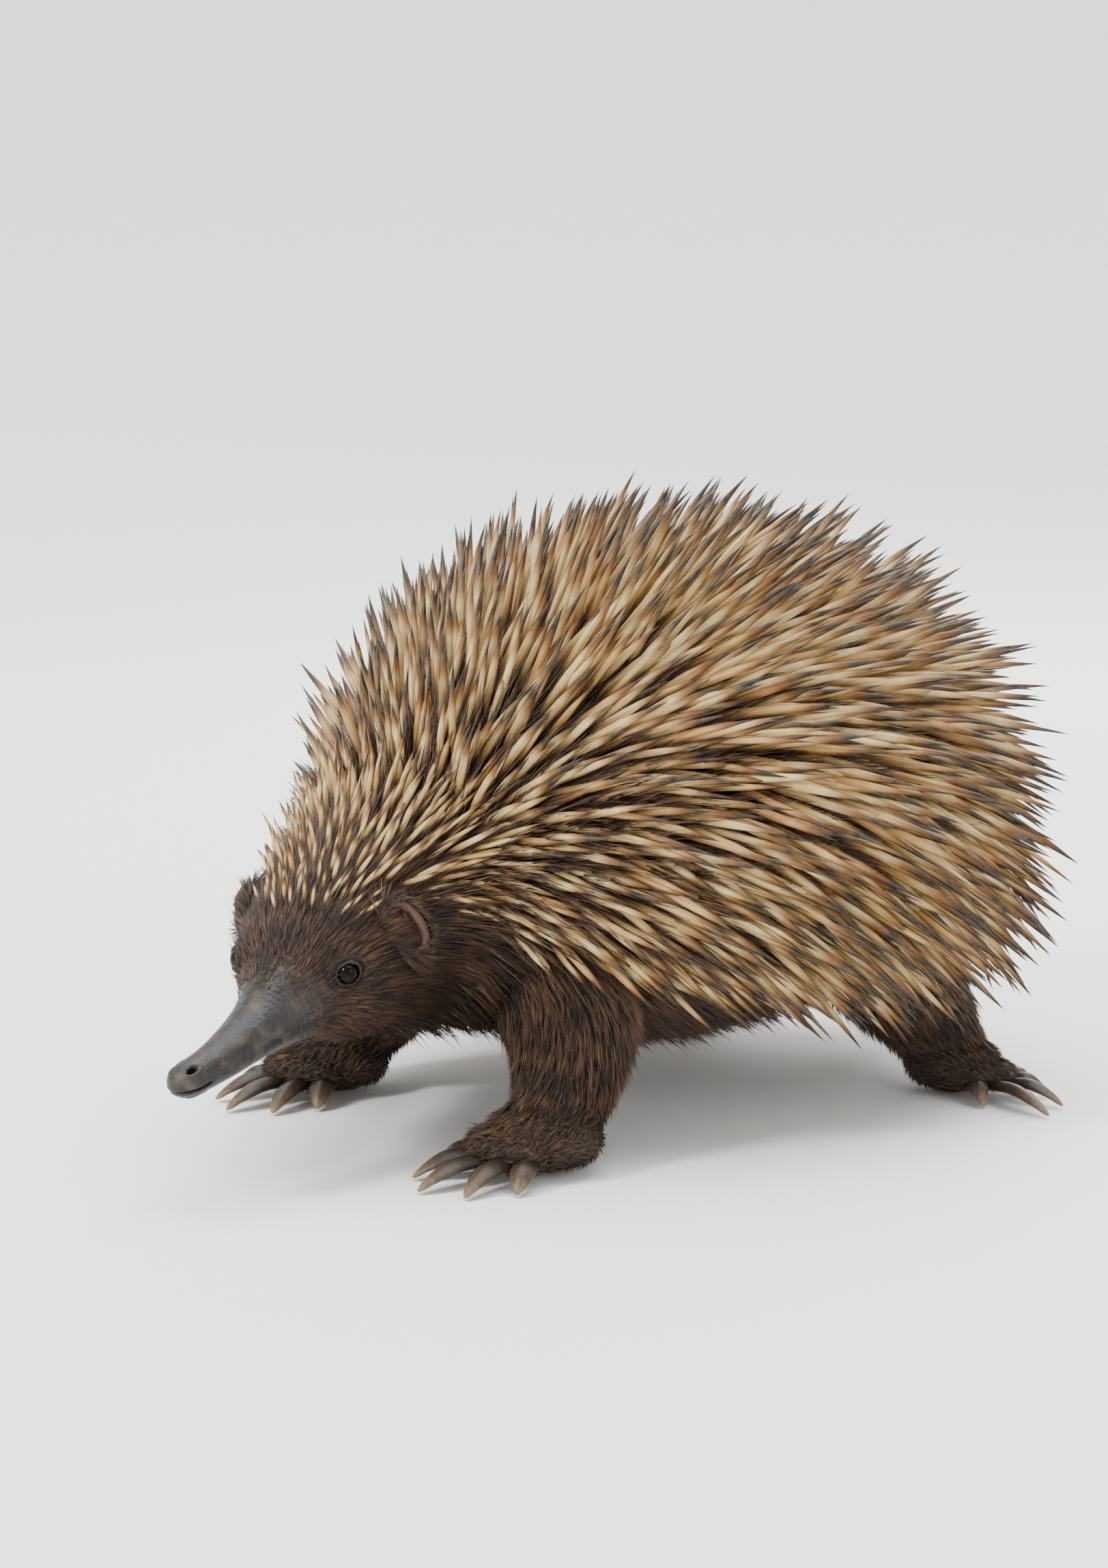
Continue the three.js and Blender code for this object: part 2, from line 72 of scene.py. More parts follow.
# Neck, head and beak: step along the line, share of the turn and drop, then half-width, height over
# and height under the line as shares of half the head's width.
HEAD = [
    (0.026, 0.35, 1.3, 1.2, 1.08),
    (0.024, 0.8, 1.05, 0.98, 0.86),
    (0.017, 1.0, 0.88, 0.8, 0.66),
    (0.013, 1.0, 0.53, 0.48, 0.42),
    (0.24 * BEAK_LENGTH, 1.0, 0.34, 0.3, 0.29),
    (0.38 * BEAK_LENGTH, 0.86, 0.235, 0.205, 0.205),
    (0.38 * BEAK_LENGTH, 0.64, 0.19, 0.165, 0.165),
]
UP = np.array([0.0, 0.0, 1.0])
DOWN = -UP


def unit(vectors):
    """Vectors at length one."""
    return vectors / np.maximum(np.linalg.norm(vectors, axis=-1, keepdims=True), 1e-9)


class Form:
    """A line of centres with a half-width, and a height over and under the line, at each station."""

    def __init__(self, stations, reference=UP, round_start=0.0, round_end=0.0):
        self.stations = np.array(stations, float)
        self.reference = np.array(reference, float)
        self.round_start = round_start
        self.round_end = round_end

    def read(self, t):
        """Centre and sizes at shares t of the line, on a smooth curve through the stations."""
        s = self.stations
        ends = np.vstack([2 * s[0] - s[1], s, 2 * s[-1] - s[-2]])
        place = np.clip(t, 0, 1) * (len(s) - 1)
        i = np.minimum(place.astype(int), len(s) - 2)
        f = (place - i)[..., None]
        before, start, end, after = (ends[i + k] for k in range(4))
        leave, arrive = 0.5 * (end - before), 0.5 * (after - start)
        bent = (2 * start - 2 * end + leave + arrive) * f**3
        return bent + (3 * end - 3 * start - 2 * leave - arrive) * f**2 + leave * f + start

    def axes(self, t):
        """The line's direction, the side and the up direction at shares t."""
        step = 1e-4
        along = unit(self.read(t + step)[..., :3] - self.read(t - step)[..., :3])
        side = unit(np.cross(self.reference, along))
        return along, side, np.cross(along, side)

    def taper(self, t):
        """How far a rounded end has drawn in: 1 along the form, 0 at the very end."""
        start = 1 - t / self.round_start if self.round_start else 0 * t
        end = 1 - (1 - t) / self.round_end if self.round_end else 0 * t
        return np.sqrt((1 - np.clip(start, 0, 1) ** 2) * (1 - np.clip(end, 0, 1) ** 2))

    def across(self, t, angle, grow=0.0):
        """Points of the skin at shares t of the line and angles from its top."""
        t, angle = np.broadcast_arrays(np.asarray(t, float), np.asarray(angle, float))
        _, side, up = self.axes(t)
        at = self.read(t)
        size = at[..., 3:] * self.taper(t)[..., None] + np.broadcast_to(grow, t.shape)[..., None]
        high = np.cos(angle) * np.where(np.cos(angle) > 0, size[..., 1], size[..., 2])
        wide = np.sin(angle) * size[..., 0]
        return at[..., :3] + side * wide[..., None] + up * high[..., None]

    def normal(self, t, angle):
        """Directions straight out of the skin."""
        step = 0.004
        ahead, behind = np.minimum(1, t + step), np.maximum(0, t - step)
        lengthwise = self.across(ahead, angle) - self.across(behind, angle)
        around = self.across(t, angle + step) - self.across(t, angle - step)
        return unit(np.cross(lengthwise, around))

    def shell(self, shares, sides, grow=0.0):
        """A closed mesh through rings at the given shares, as points and faces. The sides are a number,
        or the angles themselves where some lie closer together."""
        turns = sides if np.ndim(sides) else full_turn(sides)
        rings, sides = len(shares), len(turns)
        t, angle = np.meshgrid(shares, turns, indexing="ij")
        grown = grow(t) if callable(grow) else grow
        points = self.across(t, angle, grown).reshape(-1, 3)
        ends = self.read(np.array([shares[0], shares[-1]]))[:, :3]
        points = np.vstack([points, ends])
        faces = []
        for i in range(rings - 1):
            faces += band(i * sides, (i + 1) * sides, sides)
        for j in range(sides):
            k = (j + 1) % sides
            faces.append((rings * sides, j, k))
            faces.append((rings * sides + 1, (rings - 1) * sides + k, (rings - 1) * sides + j))
        return points, faces


def full_turn(sides):
    """Angles evenly round a circle, from its top."""
    return np.arange(sides) * 2 * math.pi / sides


def band(a, b, sides):
    """Faces between two rings of points, of which the first have the numbers a and b."""
    return [(a + j, b + j, b + (j + 1) % sides, a + (j + 1) % sides) for j in range(sides)]


def trunk_station(along, wide, back, belly):
    """One station of the trunk: centre, half-width, height over and under."""
    top, bottom = back * BACK_HEIGHT, belly * BELLY_HEIGHT
    middle = bottom + WAIST * (top - bottom)
    y = NECK_Y + (1 - along) * TRUNK_LENGTH
    return [0, y, middle, wide * TRUNK_WIDTH / 2, top - middle, middle - bottom]


def head_stations(start):
    """The stations ahead of the trunk, each a step further along a line that turns and drops."""
    at = np.array(start)
    stations = []
    for step, bend, *sizes in HEAD:
        turn, drop = HEAD_TURN * min(1, bend * 1.2), HEAD_DROP * bend
        ahead = [math.sin(turn) * math.cos(drop), -math.cos(turn) * math.cos(drop), -math.sin(drop)]
        at = at + step * np.array(ahead)
        stations.append([*at, *(size * HEAD_WIDTH / 2 for size in sizes)])
    return stations


trunk = [trunk_station(*row) for row in TRUNK]
stations = trunk + head_stations(trunk[-1][:3])
LAST = len(stations) - 1
body = Form(stations, round_start=1 / LAST, round_end=0.3 / LAST)

EYE_RADIUS = 0.0046
EYE_STATION = 8.3
EYE_ANGLE = math.radians(66)
EYE_SUNK = 0.4
SIDES = {"left": 1, "right": -1}


def spot(form, t, angle, raised=0.0):
    """A place on a form's skin: the point, forward along the skin, across it, and out of it."""
    t, angle = np.float64(t), np.float64(angle)
    out = form.normal(t, angle)
    along, _, _ = form.axes(t)
    forward = unit(along - out * np.dot(along, out))
    return form.across(t, angle) + raised * out, forward, np.cross(out, forward), out


def eye_spot(side, raised=0.0):
    """The place on the skin where an eye sits."""
    return spot(body, EYE_STATION / LAST, side * EYE_ANGLE, raised)


def box_middle(node):
    """The middle of a CAD node's box."""
    low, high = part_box(node)
    return (np.array(low) + np.array(high)) / 2


def eye_centre(side):
    """The middle of an eye's ball, sunk into the head."""
    return eye_spot(side, -EYE_SUNK * EYE_RADIUS)[0]


# The origin is under the middle of the whole animal, and the eyes tell where that is.
off_by = [box_middle(f"eye_{name}") - eye_centre(side) for name, side in SIDES.items()]
shift = np.mean(off_by, axis=0)
body.stations[:, :3] += shift

# Each limb, in mm and degrees: its line as distance out, back, height and half-width, then where it
# stands, the half-sizes of its paw, how its toes fan out, and the lengths of their claws from the inner
# side out.
LIMBS = {
    "fore": {
        "line": [(32, 2, 74, 27), (56, -2, 48, 24), (66, -12, 27, 19), (70, -22, 15, 17)],
        "y": -60, "stride": -9, "paw": (23, 20, 13), "aim": -4, "fan": 19, "reach": 29, "toe": 6.6,
        "claws": (12, 20, 24, 21, 13), "hook": 1.5,
    },
    "hind": {
        "line": [(40, 0, 76, 30), (68, -4, 48, 26), (80, 4, 27, 19), (86, 8, 15, 16.5)],
        "y": 80, "stride": 7, "paw": (19, 19, 12.5), "aim": 100, "fan": 18, "reach": 25, "toe": 5.6,
        "claws": (9, 30, 22, 14, 11), "hook": 4,
    },
}
PAW_AHEAD = 3
SOLE_FLAT = 1.5
SHORTER_OUTER_TOE = 2.2

# Along a toe: share of its reach, height and half-width as shares of its own half-width.
TOE = [(0.35, 1.6, 1.0), (0.8, 1.5, 1.0), (1.0, 1.2, 0.86)]

# Along a claw: share of its length, mm beyond that, height as shares of its root's and of its hook, then
# half-width and half-height as shares of the nail's. The tip has mm beyond its length and a height in mm.
CLAW = [
    (0, -2.5, 1.0, 0.0, 0.92, 0.56),
    (0, 0.3, 1.0, 0.0, 1.0, 0.62),
    (0.4, 0, 0.86, 0.4, 1.02, 0.6),
    (0.76, 0, 0.52, 0.3, 0.84, 0.44),
]
CLAW_TIP = (0.3, 1.3, 0.45, 0.26)
NAIL_WIDE = 0.64
NAIL_HIGH = 1.15
FUR_ON_LEGS = 2.4 * MM
FUR_ON_PAWS = 1.6 * MM
FUR_ON_TOES = 0.9 * MM


def heading(side, degrees):
    """A level direction, in degrees outward from straight ahead."""
    return np.array([side * math.sin(math.radians(degrees)), -math.cos(math.radians(degrees)), 0])


def limb_parts(name, side):
    """A limb's line, the place of its paw, and the lines of its toes and claws."""
    limb = LIMBS[name]
    line = []
    for out, back, high, wide in limb["line"]:
        at = np.array([side * out, limb["y"] + side * limb["stride"] + back, high]) * MM + shift
        line.append([*at, *([wide * MM] * 3)])
    leg = Form(line, reference=(1, 0, 0))
    forward = heading(side, limb["aim"])
    middle = np.array(line[-1][:3]) + PAW_AHEAD * MM * forward
    middle[2] = (limb["paw"][2] - SOLE_FLAT) * MM
    wide = limb["toe"]
    nail, root, hook = NAIL_WIDE * wide, NAIL_HIGH * wide, limb["hook"]
    toes, claws = [], []
    for i, long in enumerate(limb["claws"]):
        towards = heading(side, limb["aim"] + (i - 2) * limb["fan"])
        reach = limb["reach"] - SHORTER_OUTER_TOE * abs(i - 2)

        def station(distance, height, half, over):
            at = middle + towards * distance * MM
            return [at[0], at[1], height * MM, half * MM, over * MM, over * MM]

        rows = [(share * reach, high * wide, half * wide, half * wide) for share, high, half in TOE]
        toes.append(Form([station(*row) for row in rows], round_end=0.2))
        rows = []
        for share, beyond, of_root, of_hook, half, over in CLAW:
            distance = reach + share * long + beyond
            rows.append((distance, of_root * root + of_hook * hook, half * nail, over * nail))
        beyond, height, half, over = CLAW_TIP
        rows.append((reach + long + beyond, height, half * nail, over * nail))
        claws.append(Form([station(*row) for row in rows], round_end=0.12))
    return {"leg": leg, "middle": middle, "forward": forward, "toes": toes, "claws": claws}


limbs = {f"{name}leg_{side}": limb_parts(name, SIDES[side]) for name in LIMBS for side in SIDES}


def ball(middle, axes, halves, rings=16, sides=32):
    """A ball stretched to three half-sizes along three axes, as points and faces."""
    line = [[*(middle + axes[0] * halves[0] * x), 0, 0, 0] for x in (-1, 1)]
    form = Form(line, reference=axes[2])
    over = np.linspace(0, math.pi, rings + 2)[1:-1]
    shares, reach = (1 - np.cos(over)) / 2, np.sin(over)
    _, angle = np.meshgrid(shares, full_turn(sides), indexing="ij")
    points, faces = form.shell(shares, sides)
    across = np.sin(angle)[..., None] * axes[1] * halves[1] + np.cos(angle)[..., None] * axes[2] * halves[2]
    points[:-2] += (across * reach[:, None, None]).reshape(-1, 3)
    points[-2:] = form.read(np.array([0.0, 1.0]))[:, :3]
    return points, faces


# The ears: a low upright cup each, standing higher at the back, open forwards and outwards. The cup's wall
# runs up to its rim and down again inside.
EAR_STATION = 6.9
EAR_ANGLE = math.radians(64)
EAR_HALVES = np.array([7.2, 12.6, 8.6]) * MM
EAR_WALL = 2.9 * MM
EAR_RIM = 46  # degrees up the cup
EAR_RIM_FALL = 34  # how much lower at the front, and higher at the back
EAR_FOOT = np.radians(35)
EAR_FLOOR = np.radians(20)
EAR_POLES = (6 * MM, 2.4 * MM)  # how deep the points lie that close the wall outside and inside
ear_places = {name: spot(body, EAR_STATION / LAST, side * EAR_ANGLE) for name, side in SIDES.items()}


def ear_shell(place, sides=40):
    """The outside of the cup up to its rim, then down its inside, as one closed mesh."""
    at, forward, up, out = place
    turn = full_turn(sides)
    rim = np.radians(EAR_RIM - EAR_RIM_FALL * np.cos(turn))
    rings = []

    def ring(halves, rise):
        level, high = np.cos(rise)[:, None], np.sin(rise)[:, None]
        flat = forward * halves[0] * np.cos(turn)[:, None] + up * halves[1] * np.sin(turn)[:, None]
        rings.append(at + flat * level + out * halves[2] * high)

    for share in np.linspace(0, 1, 9):
        ring(EAR_HALVES, -EAR_FOOT + (rim + EAR_FOOT) * share)
    for share in np.linspace(1, 0.05, 8):
        ring(EAR_HALVES - EAR_WALL, (rim + EAR_FLOOR) * share - EAR_FLOOR)
    points = np.vstack([*rings, *(at - out * deep for deep in EAR_POLES)])
    faces = []
    for i in range(len(rings) - 1):
        for j in range(sides):
            a, b = i * sides + j, i * sides + (j + 1) % sides
            faces.append((a, b, b + sides, a + sides))
    last = (len(rings) - 1) * sides
    for j in range(sides):
        k = (j + 1) % sides
        faces.append((len(rings) * sides, k, j))
        faces.append((len(rings) * sides + 1, last + j, last + k))
    return points, faces


# The tail: a short stump under the rump, hidden by the last spines. Its line is given in mm, as distance
# back, height, half-width and half-height.
TAIL = [(124, 74, 21, 18), (143, 60, 17, 14), (156, 48, 12, 9), (162, 41, 8, 6.5)]
tail = Form([
    [*(np.array([0, back, high]) * MM + shift), wide * MM, over * MM, over * MM]
    for back, high, wide, over in TAIL
], round_end=0.25)

# The fur's depth over the hide in mm, by station of the body's line. Ahead of the face the hide runs on
# inside the beak.
HIDE_DEPTH = ([0, 5, 6.5, 8.4, 9.0, 12], [1.2, 1.2, 1.8, 1.4, 0.5, 0.9])
FUR_ON_TAIL = 1.2 * MM


def hide_depth(t):
    """How far the hide lies under the fur's surface at shares t of the body's line."""
    return -MM * np.interp(t * LAST, *HIDE_DEPTH)


def mesh_object(name, points, faces):
    """A new object at the origin, from points and faces."""
    mesh = bpy.data.meshes.new(name)
    mesh.from_pydata(np.asarray(points).tolist(), [], [list(map(int, face)) for face in faces])
    mesh.validate()
    made = bpy.data.objects.new(name, mesh)
    bpy.context.scene.collection.objects.link(made)
    return made


def joined(shells):
    """Several closed meshes as one list of points and faces."""
    points, faces, count = [], [], 0
    for these, corners in shells:
        points.append(these)
        faces.extend(tuple(i + count for i in face) for face in corners)
        count += len(these)
    return np.vstack(points), faces


def finished(made):
    """Turns an object's modifiers into a plain mesh, and removes them."""
    bpy.context.view_layer.update()
    evaluated = made.evaluated_get(bpy.context.evaluated_depsgraph_get())
    mesh = bpy.data.meshes.new_from_object(evaluated)
    made.modifiers.clear()
    made.data = mesh
    return made


HIDE_GRAIN = 1.65 * MM
HIDE_ENDS = 10.8
rump_shares = (1 - np.cos(np.linspace(0, math.pi / 2, 24))) * 0.9 / LAST
body_shares = np.concatenate([rump_shares, np.linspace(0.95 / LAST, HIDE_ENDS / LAST, 110)])
tail_shares = np.linspace(0, 1, 24) ** 0.8
toe_shares = 1 - (1 - np.linspace(0, 1, 14)) ** 1.5
shells = [body.shell(body_shares, 72, hide_depth), tail.shell(tail_shares, 32, -FUR_ON_TAIL)]
shells += [ear_shell(place) for place in ear_places.values()]
for name, limb in limbs.items():
    wide, long, high = LIMBS[name[:4]]["paw"]
    axes = (limb["forward"], np.cross(UP, limb["forward"]), UP)
    halves = np.array([long, wide, high]) * MM - FUR_ON_PAWS
    shells.append(limb["leg"].shell(np.linspace(0, 1, 24), 40, -FUR_ON_LEGS))
    shells.append(ball(limb["middle"], axes, halves))
    shells += [toe.shell(toe_shares, 20, -FUR_ON_TOES) for toe in limb["toes"]]

hide = mesh_object("hide", *joined(shells))
remesh = hide.modifiers.new("one skin", "REMESH")
remesh.mode = "VOXEL"
remesh.voxel_size = HIDE_GRAIN
smooth = hide.modifiers.new("smooth joins", "SMOOTH")
smooth.factor = 0.5
smooth.iterations = 6
finished(hide)
hide.data.shade_smooth()

# The ground under the soles is flat, and so are they.
SOLE_HEIGHT = 0.4 * MM


def read_points(values, key):
    """One vector for each point of a mesh."""
    flat = np.empty(len(values) * 3, np.float32)
    values.foreach_get(key, flat)
    return flat.reshape(-1, 3).astype(float)


points = read_points(hide.data.vertices, "co")
points[:, 2] = np.maximum(points[:, 2], SOLE_HEIGHT)


def locate(form, points, samples=200):
    """For each point: the nearest share of a form's line, the angle from its top, and how far out it is,
    as a share of the form's own size there."""
    shares = np.linspace(0, 1, samples)
    centres = form.read(shares)[:, :3]
    nearest = np.empty(len(points), int)
    batch = 20000
    for start in range(0, len(points), batch):
        part = points[start:start + batch]
        nearest[start:start + batch] = np.argmin((centres**2).sum(1) - 2 * part @ centres.T, axis=1)
    t = shares[nearest]
    along, _, _ = form.axes(t)
    away = points - form.read(t)[:, :3]
    speed = np.linalg.norm(form.read(t + 1e-3)[:, :3] - form.read(t - 1e-3)[:, :3], axis=1) / 2e-3
    t = np.clip(t + (away * along).sum(1) / np.maximum(speed, 1e-6), 0, 1)
    along, side, up = form.axes(t)
    at = form.read(t)
    away = points - at[:, :3]
    right, high, ahead = ((away * axis).sum(1) for axis in (side, up, along))
    right = right / at[:, 3]
    high = high / np.where(high > 0, at[:, 4], at[:, 5])
    beyond = ahead / at[:, 3]
    return t, np.arctan2(right, high), np.sqrt(right**2 + high**2 + beyond**2)


def swell(distance, at, wide, power=2):
    """1 at a distance, falling away smoothly on both sides of it."""
    return np.exp(-(((distance - at) / wide) ** power))


# Folds of the skin round each eye: a shallow socket, then a raised ring, then a crease. Each is its height,
# its distance from the eye and its width in mm, and how steep its sides are.
EYE_FOLDS = [(-1.6, 0, 3.6, 4), (0.7, 5.9, 1.5, 2), (-0.5, 9.2, 1.3, 2)]
for side in SIDES.values():
    centre, _, _, out = eye_spot(side)
    away = np.linalg.norm(points - centre, axis=1) / MM
    raised = sum(high * swell(away, at, wide, power) for high, at, wide, power in EYE_FOLDS)
    points += out * (raised * MM)[:, None]
hide.data.vertices.foreach_set("co", points.astype(np.float32).ravel())
hide.data.update()
normals = read_points(hide.data.vertex_normals, "vector")


def linear(colour):
    """An sRGB hex colour as the linear colour that a shader takes."""
    channels = [((colour >> bits) & 255) / 255 for bits in (16, 8, 0)]
    straight = [c / 12.92 if c <= 0.04045 else ((c + 0.055) / 1.055) ** 2.4 for c in channels]
    return (*straight, 1.0)


def add(tree, kind, inputs=None, stops=(), **settings):
    """Adds a node with its settings. An input goes by its number or name, and is a value, a socket, or a
    node whose first output in use feeds it. Stops are the places and hex colours of a colour ramp."""
    node = tree.nodes.new(kind)
    for key, value in settings.items():
        setattr(node, key, value)
    for key, value in (inputs or {}).items():
        if isinstance(key, str):
            key = next(i for i, socket in enumerate(node.inputs) if socket.enabled and socket.name == key)
        if isinstance(value, bpy.types.Node):
            value = next(socket for socket in value.outputs if socket.enabled)
        if isinstance(value, bpy.types.NodeSocket):
            tree.links.new(value, node.inputs[key])
        else:
            node.inputs[key].default_value = value
    if stops:
        elements = node.color_ramp.elements
        while len(elements) < len(stops):
            elements.new(0.5)
        for element, (place, colour) in zip(elements, stops):
            element.position = place
            element.color = linear(colour)
    return node


def new_material(name):
    """A material with an empty tree."""
    made = bpy.data.materials.new(name)
    made.use_nodes = True
    made.node_tree.nodes.clear()
    return made, made.node_tree


# Hide of a mammal under fur: dark, dry skin, faintly mottled, with a fine grain. Its pores are drawn
# coarser than real ones, so that they show. In the cups of the ears, nearly bare, it is paler.
MOTTLE = 20 * MM
PORE = 0.9 * MM
hide_skin, tree = new_material("furred hide")
where = add(tree, "ShaderNodeTexCoord").outputs["Object"]
mottle = add(tree, "ShaderNodeTexNoise", {"Vector": where, "Scale": 1 / MOTTLE, "Detail": 4.0})
pores = add(tree, "ShaderNodeTexVoronoi", {"Vector": where, "Scale": 1 / PORE})
grain = add(tree, "ShaderNodeBump", {"Height": pores, "Strength": 0.5, "Distance": 0.2 * MM})
dark = add(tree, "ShaderNodeValToRGB", {"Fac": mottle}, [(0.35, 0x1F1611), (0.65, 0x33251C)])
cup = add(tree, "ShaderNodeAttribute", attribute_name="ear_cup").outputs["Fac"]
colour = add(tree, "ShaderNodeMix", {"Factor": cup, "A": dark, "B": linear(0x4A352B)}, data_type="RGBA")
shader = add(tree, "ShaderNodeBsdfPrincipled", {
    "Base Color": colour, "Roughness": 0.72, "IOR": 1.42, "Normal": grain,
})
add(tree, "ShaderNodeOutputMaterial", {"Surface": shader})
hide.data.materials.append(hide_skin)
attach(hide, "root")
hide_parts("rump", "torso", "neck", "head", "tail", "ear_left", "ear_right", *limbs)

# The lie of the coat: on every point of the hide, which way the hair runs, how long it is and where each
# kind grows. It runs back from the beak and down the legs, as on the living animal.
SPINE_LENGTH = 0.047
PAW_HEIGHT = 0.030
PAW_REACH = 0.027

# Spiny coat by station: length as a share, how far round from the top it grows, and its lean, in degrees.
COAT = np.array([
    (0, 0.86, 180, 8),
    (1, 1.04, 134, 26),
    (2, 1.06, 126, 36),
    (3, 1.0, 124, 35),
    (4, 0.86, 118, 30),
    (5, 0.68, 104, 26),
    (6, 0.48, 74, 28),
    (7, 0.3, 56, 36),
    (7.7, 0.2, 36, 44),
], float)

# Where the coat changes, by station: from the rump's spines to the back's, to the crown's, where the face
# begins, and the last spine.
BACK_FROM = 2.4
CROWN_FROM = 5.2
FACE_FROM = 6.2
LAST_SPINE = 7.75

# Hair in metres by station, or on the legs by height over the ground. Leans are in degrees.
BACK_HAIR = ([0, 5, 6.2], [0.028, 0.022, 0.012])
BELLY_HAIR = ([0, 4, 5, 6.2], [0.016, 0.016, 0.019, 0.014])
FACE_HAIR = ([6.2, 7.2, 8.0, 8.6, 9.8], [0.012, 0.0085, 0.006, 0.0042, 0.003])
FACE_LEAN = ([6.2, 8.4, 9.2], [8, 8, -8])
LEG_HAIR = ([0, 0.012, 0.03, 0.07], [0.0028, 0.0042, 0.0075, 0.012])
TAIL_HAIR = 0.009
EAR_HAIR = 0.0038
EAR_CLEARANCE = 0.0145
BARE_ROUND_EYES = (0.0042, 0.0048)
BODY_LEAN = 60
LESS_UNDER_SPINES = 22
LEG_LEAN = 64
TAIL_LEAN = 55
EAR_LEAN = 50
SHOULDER_LEAN = 27
FLANK_DROOP = 1.1
RUMP_DROOP = 0.45

# How far the hair turns down on the trunk and the tail, and apart on the paws, as shares of its run along
# them. On the ears it is how far it runs out of the skin and away from the middle.
BODY_HANG = 0.35
TAIL_HANG = 0.3
PAW_SPREAD = 0.5
EAR_OUT = 1.2
EAR_SPREAD = 0.6

# Where an ear starts and is all ear: by distance from its middle, and by distance out of the skin. Its cup
# goes by the share of the ear's half-sizes.
EAR_NEAR = (0.017, 0.013)
EAR_PROUD = (0.0015, 0.004)
CUP_EDGE = (0.72, 0.6)


def soft_step(value, start, end):
    """0 below start, 1 above end, and smooth between."""
    share = np.clip((value - start) / (end - start), 0, 1)
    return share * share * (3 - 2 * share)


t, angle, out_by = locate(body, points)
station = t * LAST
degrees = np.degrees(np.abs(angle))
height = points[:, 2]
parts = [(out_by, -body.axes(t)[0] + BODY_HANG * DOWN * soft_step(station, 9, 6)[:, None])]
strips = []
for name, limb in limbs.items():
    share, turned, leg_by = locate(limb["leg"], points, 80)
    near_paw = soft_step(height, PAW_HEIGHT, 0.5 * PAW_HEIGHT)[:, None]
    spread = unit((points - limb["middle"]) * [1, 1, 0])
    over_paw = unit(limb["forward"] + PAW_SPREAD * spread)
    way = limb["leg"].axes(share)[0] * (1 - near_paw) + over_paw * near_paw
    paw_by = np.linalg.norm(points - limb["middle"], axis=1) / PAW_REACH
    parts.append((np.minimum(leg_by, paw_by), way))
    strips.append(turned)
share, turned, tail_by = locate(tail, points, 60)
parts.append((tail_by, tail.axes(share)[0] + TAIL_HANG * DOWN))
strips.append(turned)

# Each point goes with the part that it lies deepest in, and where two parts meet their hair blends.
weights = np.array([1 / np.maximum(by, 0.2) ** 9 for by, _ in parts])
weights /= weights.sum(axis=0)
of_body, of_tail = weights[0], weights[-1]
of_leg = sum(weights[1:-1])
flow = sum(weight[:, None] * unit(way) for weight, (_, way) in zip(weights, parts))

# On the outside of the ears the hair runs out to the rim, and the cup is nearly bare.
in_ear = np.zeros(len(points))
in_cup = np.zeros(len(points))
for at, forward, up, out in ear_places.values():
    from_ear = points - at
    close = soft_step(np.linalg.norm(from_ear, axis=1), *EAR_NEAR)
    proud = soft_step(from_ear @ out, *EAR_PROUD)
    in_ear = np.maximum(in_ear, close * proud)
    flow += (close * proud)[:, None] * (EAR_OUT * out + EAR_SPREAD * from_ear / 0.012)
    level = np.stack([(from_ear @ forward) / EAR_HALVES[0], (from_ear @ up) / EAR_HALVES[1]], axis=1)
    radius = np.linalg.norm(level, axis=1)
    facing = (normals @ forward) * level[:, 0] + (normals @ up) * level[:, 1]
    inner = soft_step(radius, *CUP_EDGE) + (radius < 0.95) * soft_step(facing, 0.1, -0.15)
    in_cup = np.maximum(in_cup, np.clip(inner, 0, 1) * (close > 0) * (from_ear @ out > -0.004))


def along_skin(way):
    """Directions laid flat on the skin."""
    return unit(way - normals * (way * normals).sum(1)[:, None])


def lying(way, lean, out_of_skin=normals, droop=0.0):
    """Directions that lean over from straight out of the skin, by degrees, and hang down by a share."""
    lean = np.radians(lean)[:, None]
    hang = np.broadcast_to(droop, len(points))[:, None]
    return unit(out_of_skin * np.cos(lean) + way * np.sin(lean) + DOWN * hang)


def near_eyes(inner, outer):
    """1 away from both eyes, 0 within a distance of them."""
    clear = np.ones(len(points))
    for side in SIDES.values():
        clear *= soft_step(np.linalg.norm(points - eye_spot(side)[0], axis=1), inner, outer)
    return clear


flow = along_skin(flow)
backward = along_skin(parts[0][1])
# A spine stands out from the trunk as a whole, so the folds at the legs and the tail hardly turn it.
from_line = unit(points - body.read(t)[:, :3])
outward = unit(normals + 1.5 * from_line)

# Spines cover the trunk and the crown as far round as the coat reaches, and leave room for the ears. At
# the coat's lower edge they are shorter, and they hang down at the flanks and behind.
reach = np.interp(station, COAT[:, 0], COAT[:, 2])
covered = soft_step(degrees, reach + 4, reach - 5) * soft_step(of_body, 0.45, 0.62)
clear_of_ears = np.ones(len(points))
for at, *_ in ear_places.values():
    clear_of_ears *= np.linalg.norm(points - at, axis=1) > EAR_CLEARANCE
covered *= clear_of_ears * (station < LAST_SPINE) * soft_step(of_tail, 0.3, 0.12)
droop = FLANK_DROOP * np.maximum(0, np.abs(np.sin(angle)) - 0.55) + RUMP_DROOP * soft_step(station, 1.6, 0.2)
edge = 0.72 + 0.28 * soft_step(degrees, reach, reach - 26)
spine_long = SPINE_LENGTH * np.interp(station, COAT[:, 0], COAT[:, 1]) * edge
# The shoulders face forwards, so their spines lean back further to lie with the rest.
shoulder_lean = SHOULDER_LEAN * soft_step(degrees, 28, 60) * soft_step(station, 3.2, 4.3)
spine_lean = np.interp(station, COAT[:, 0], COAT[:, 3]) + shoulder_lean

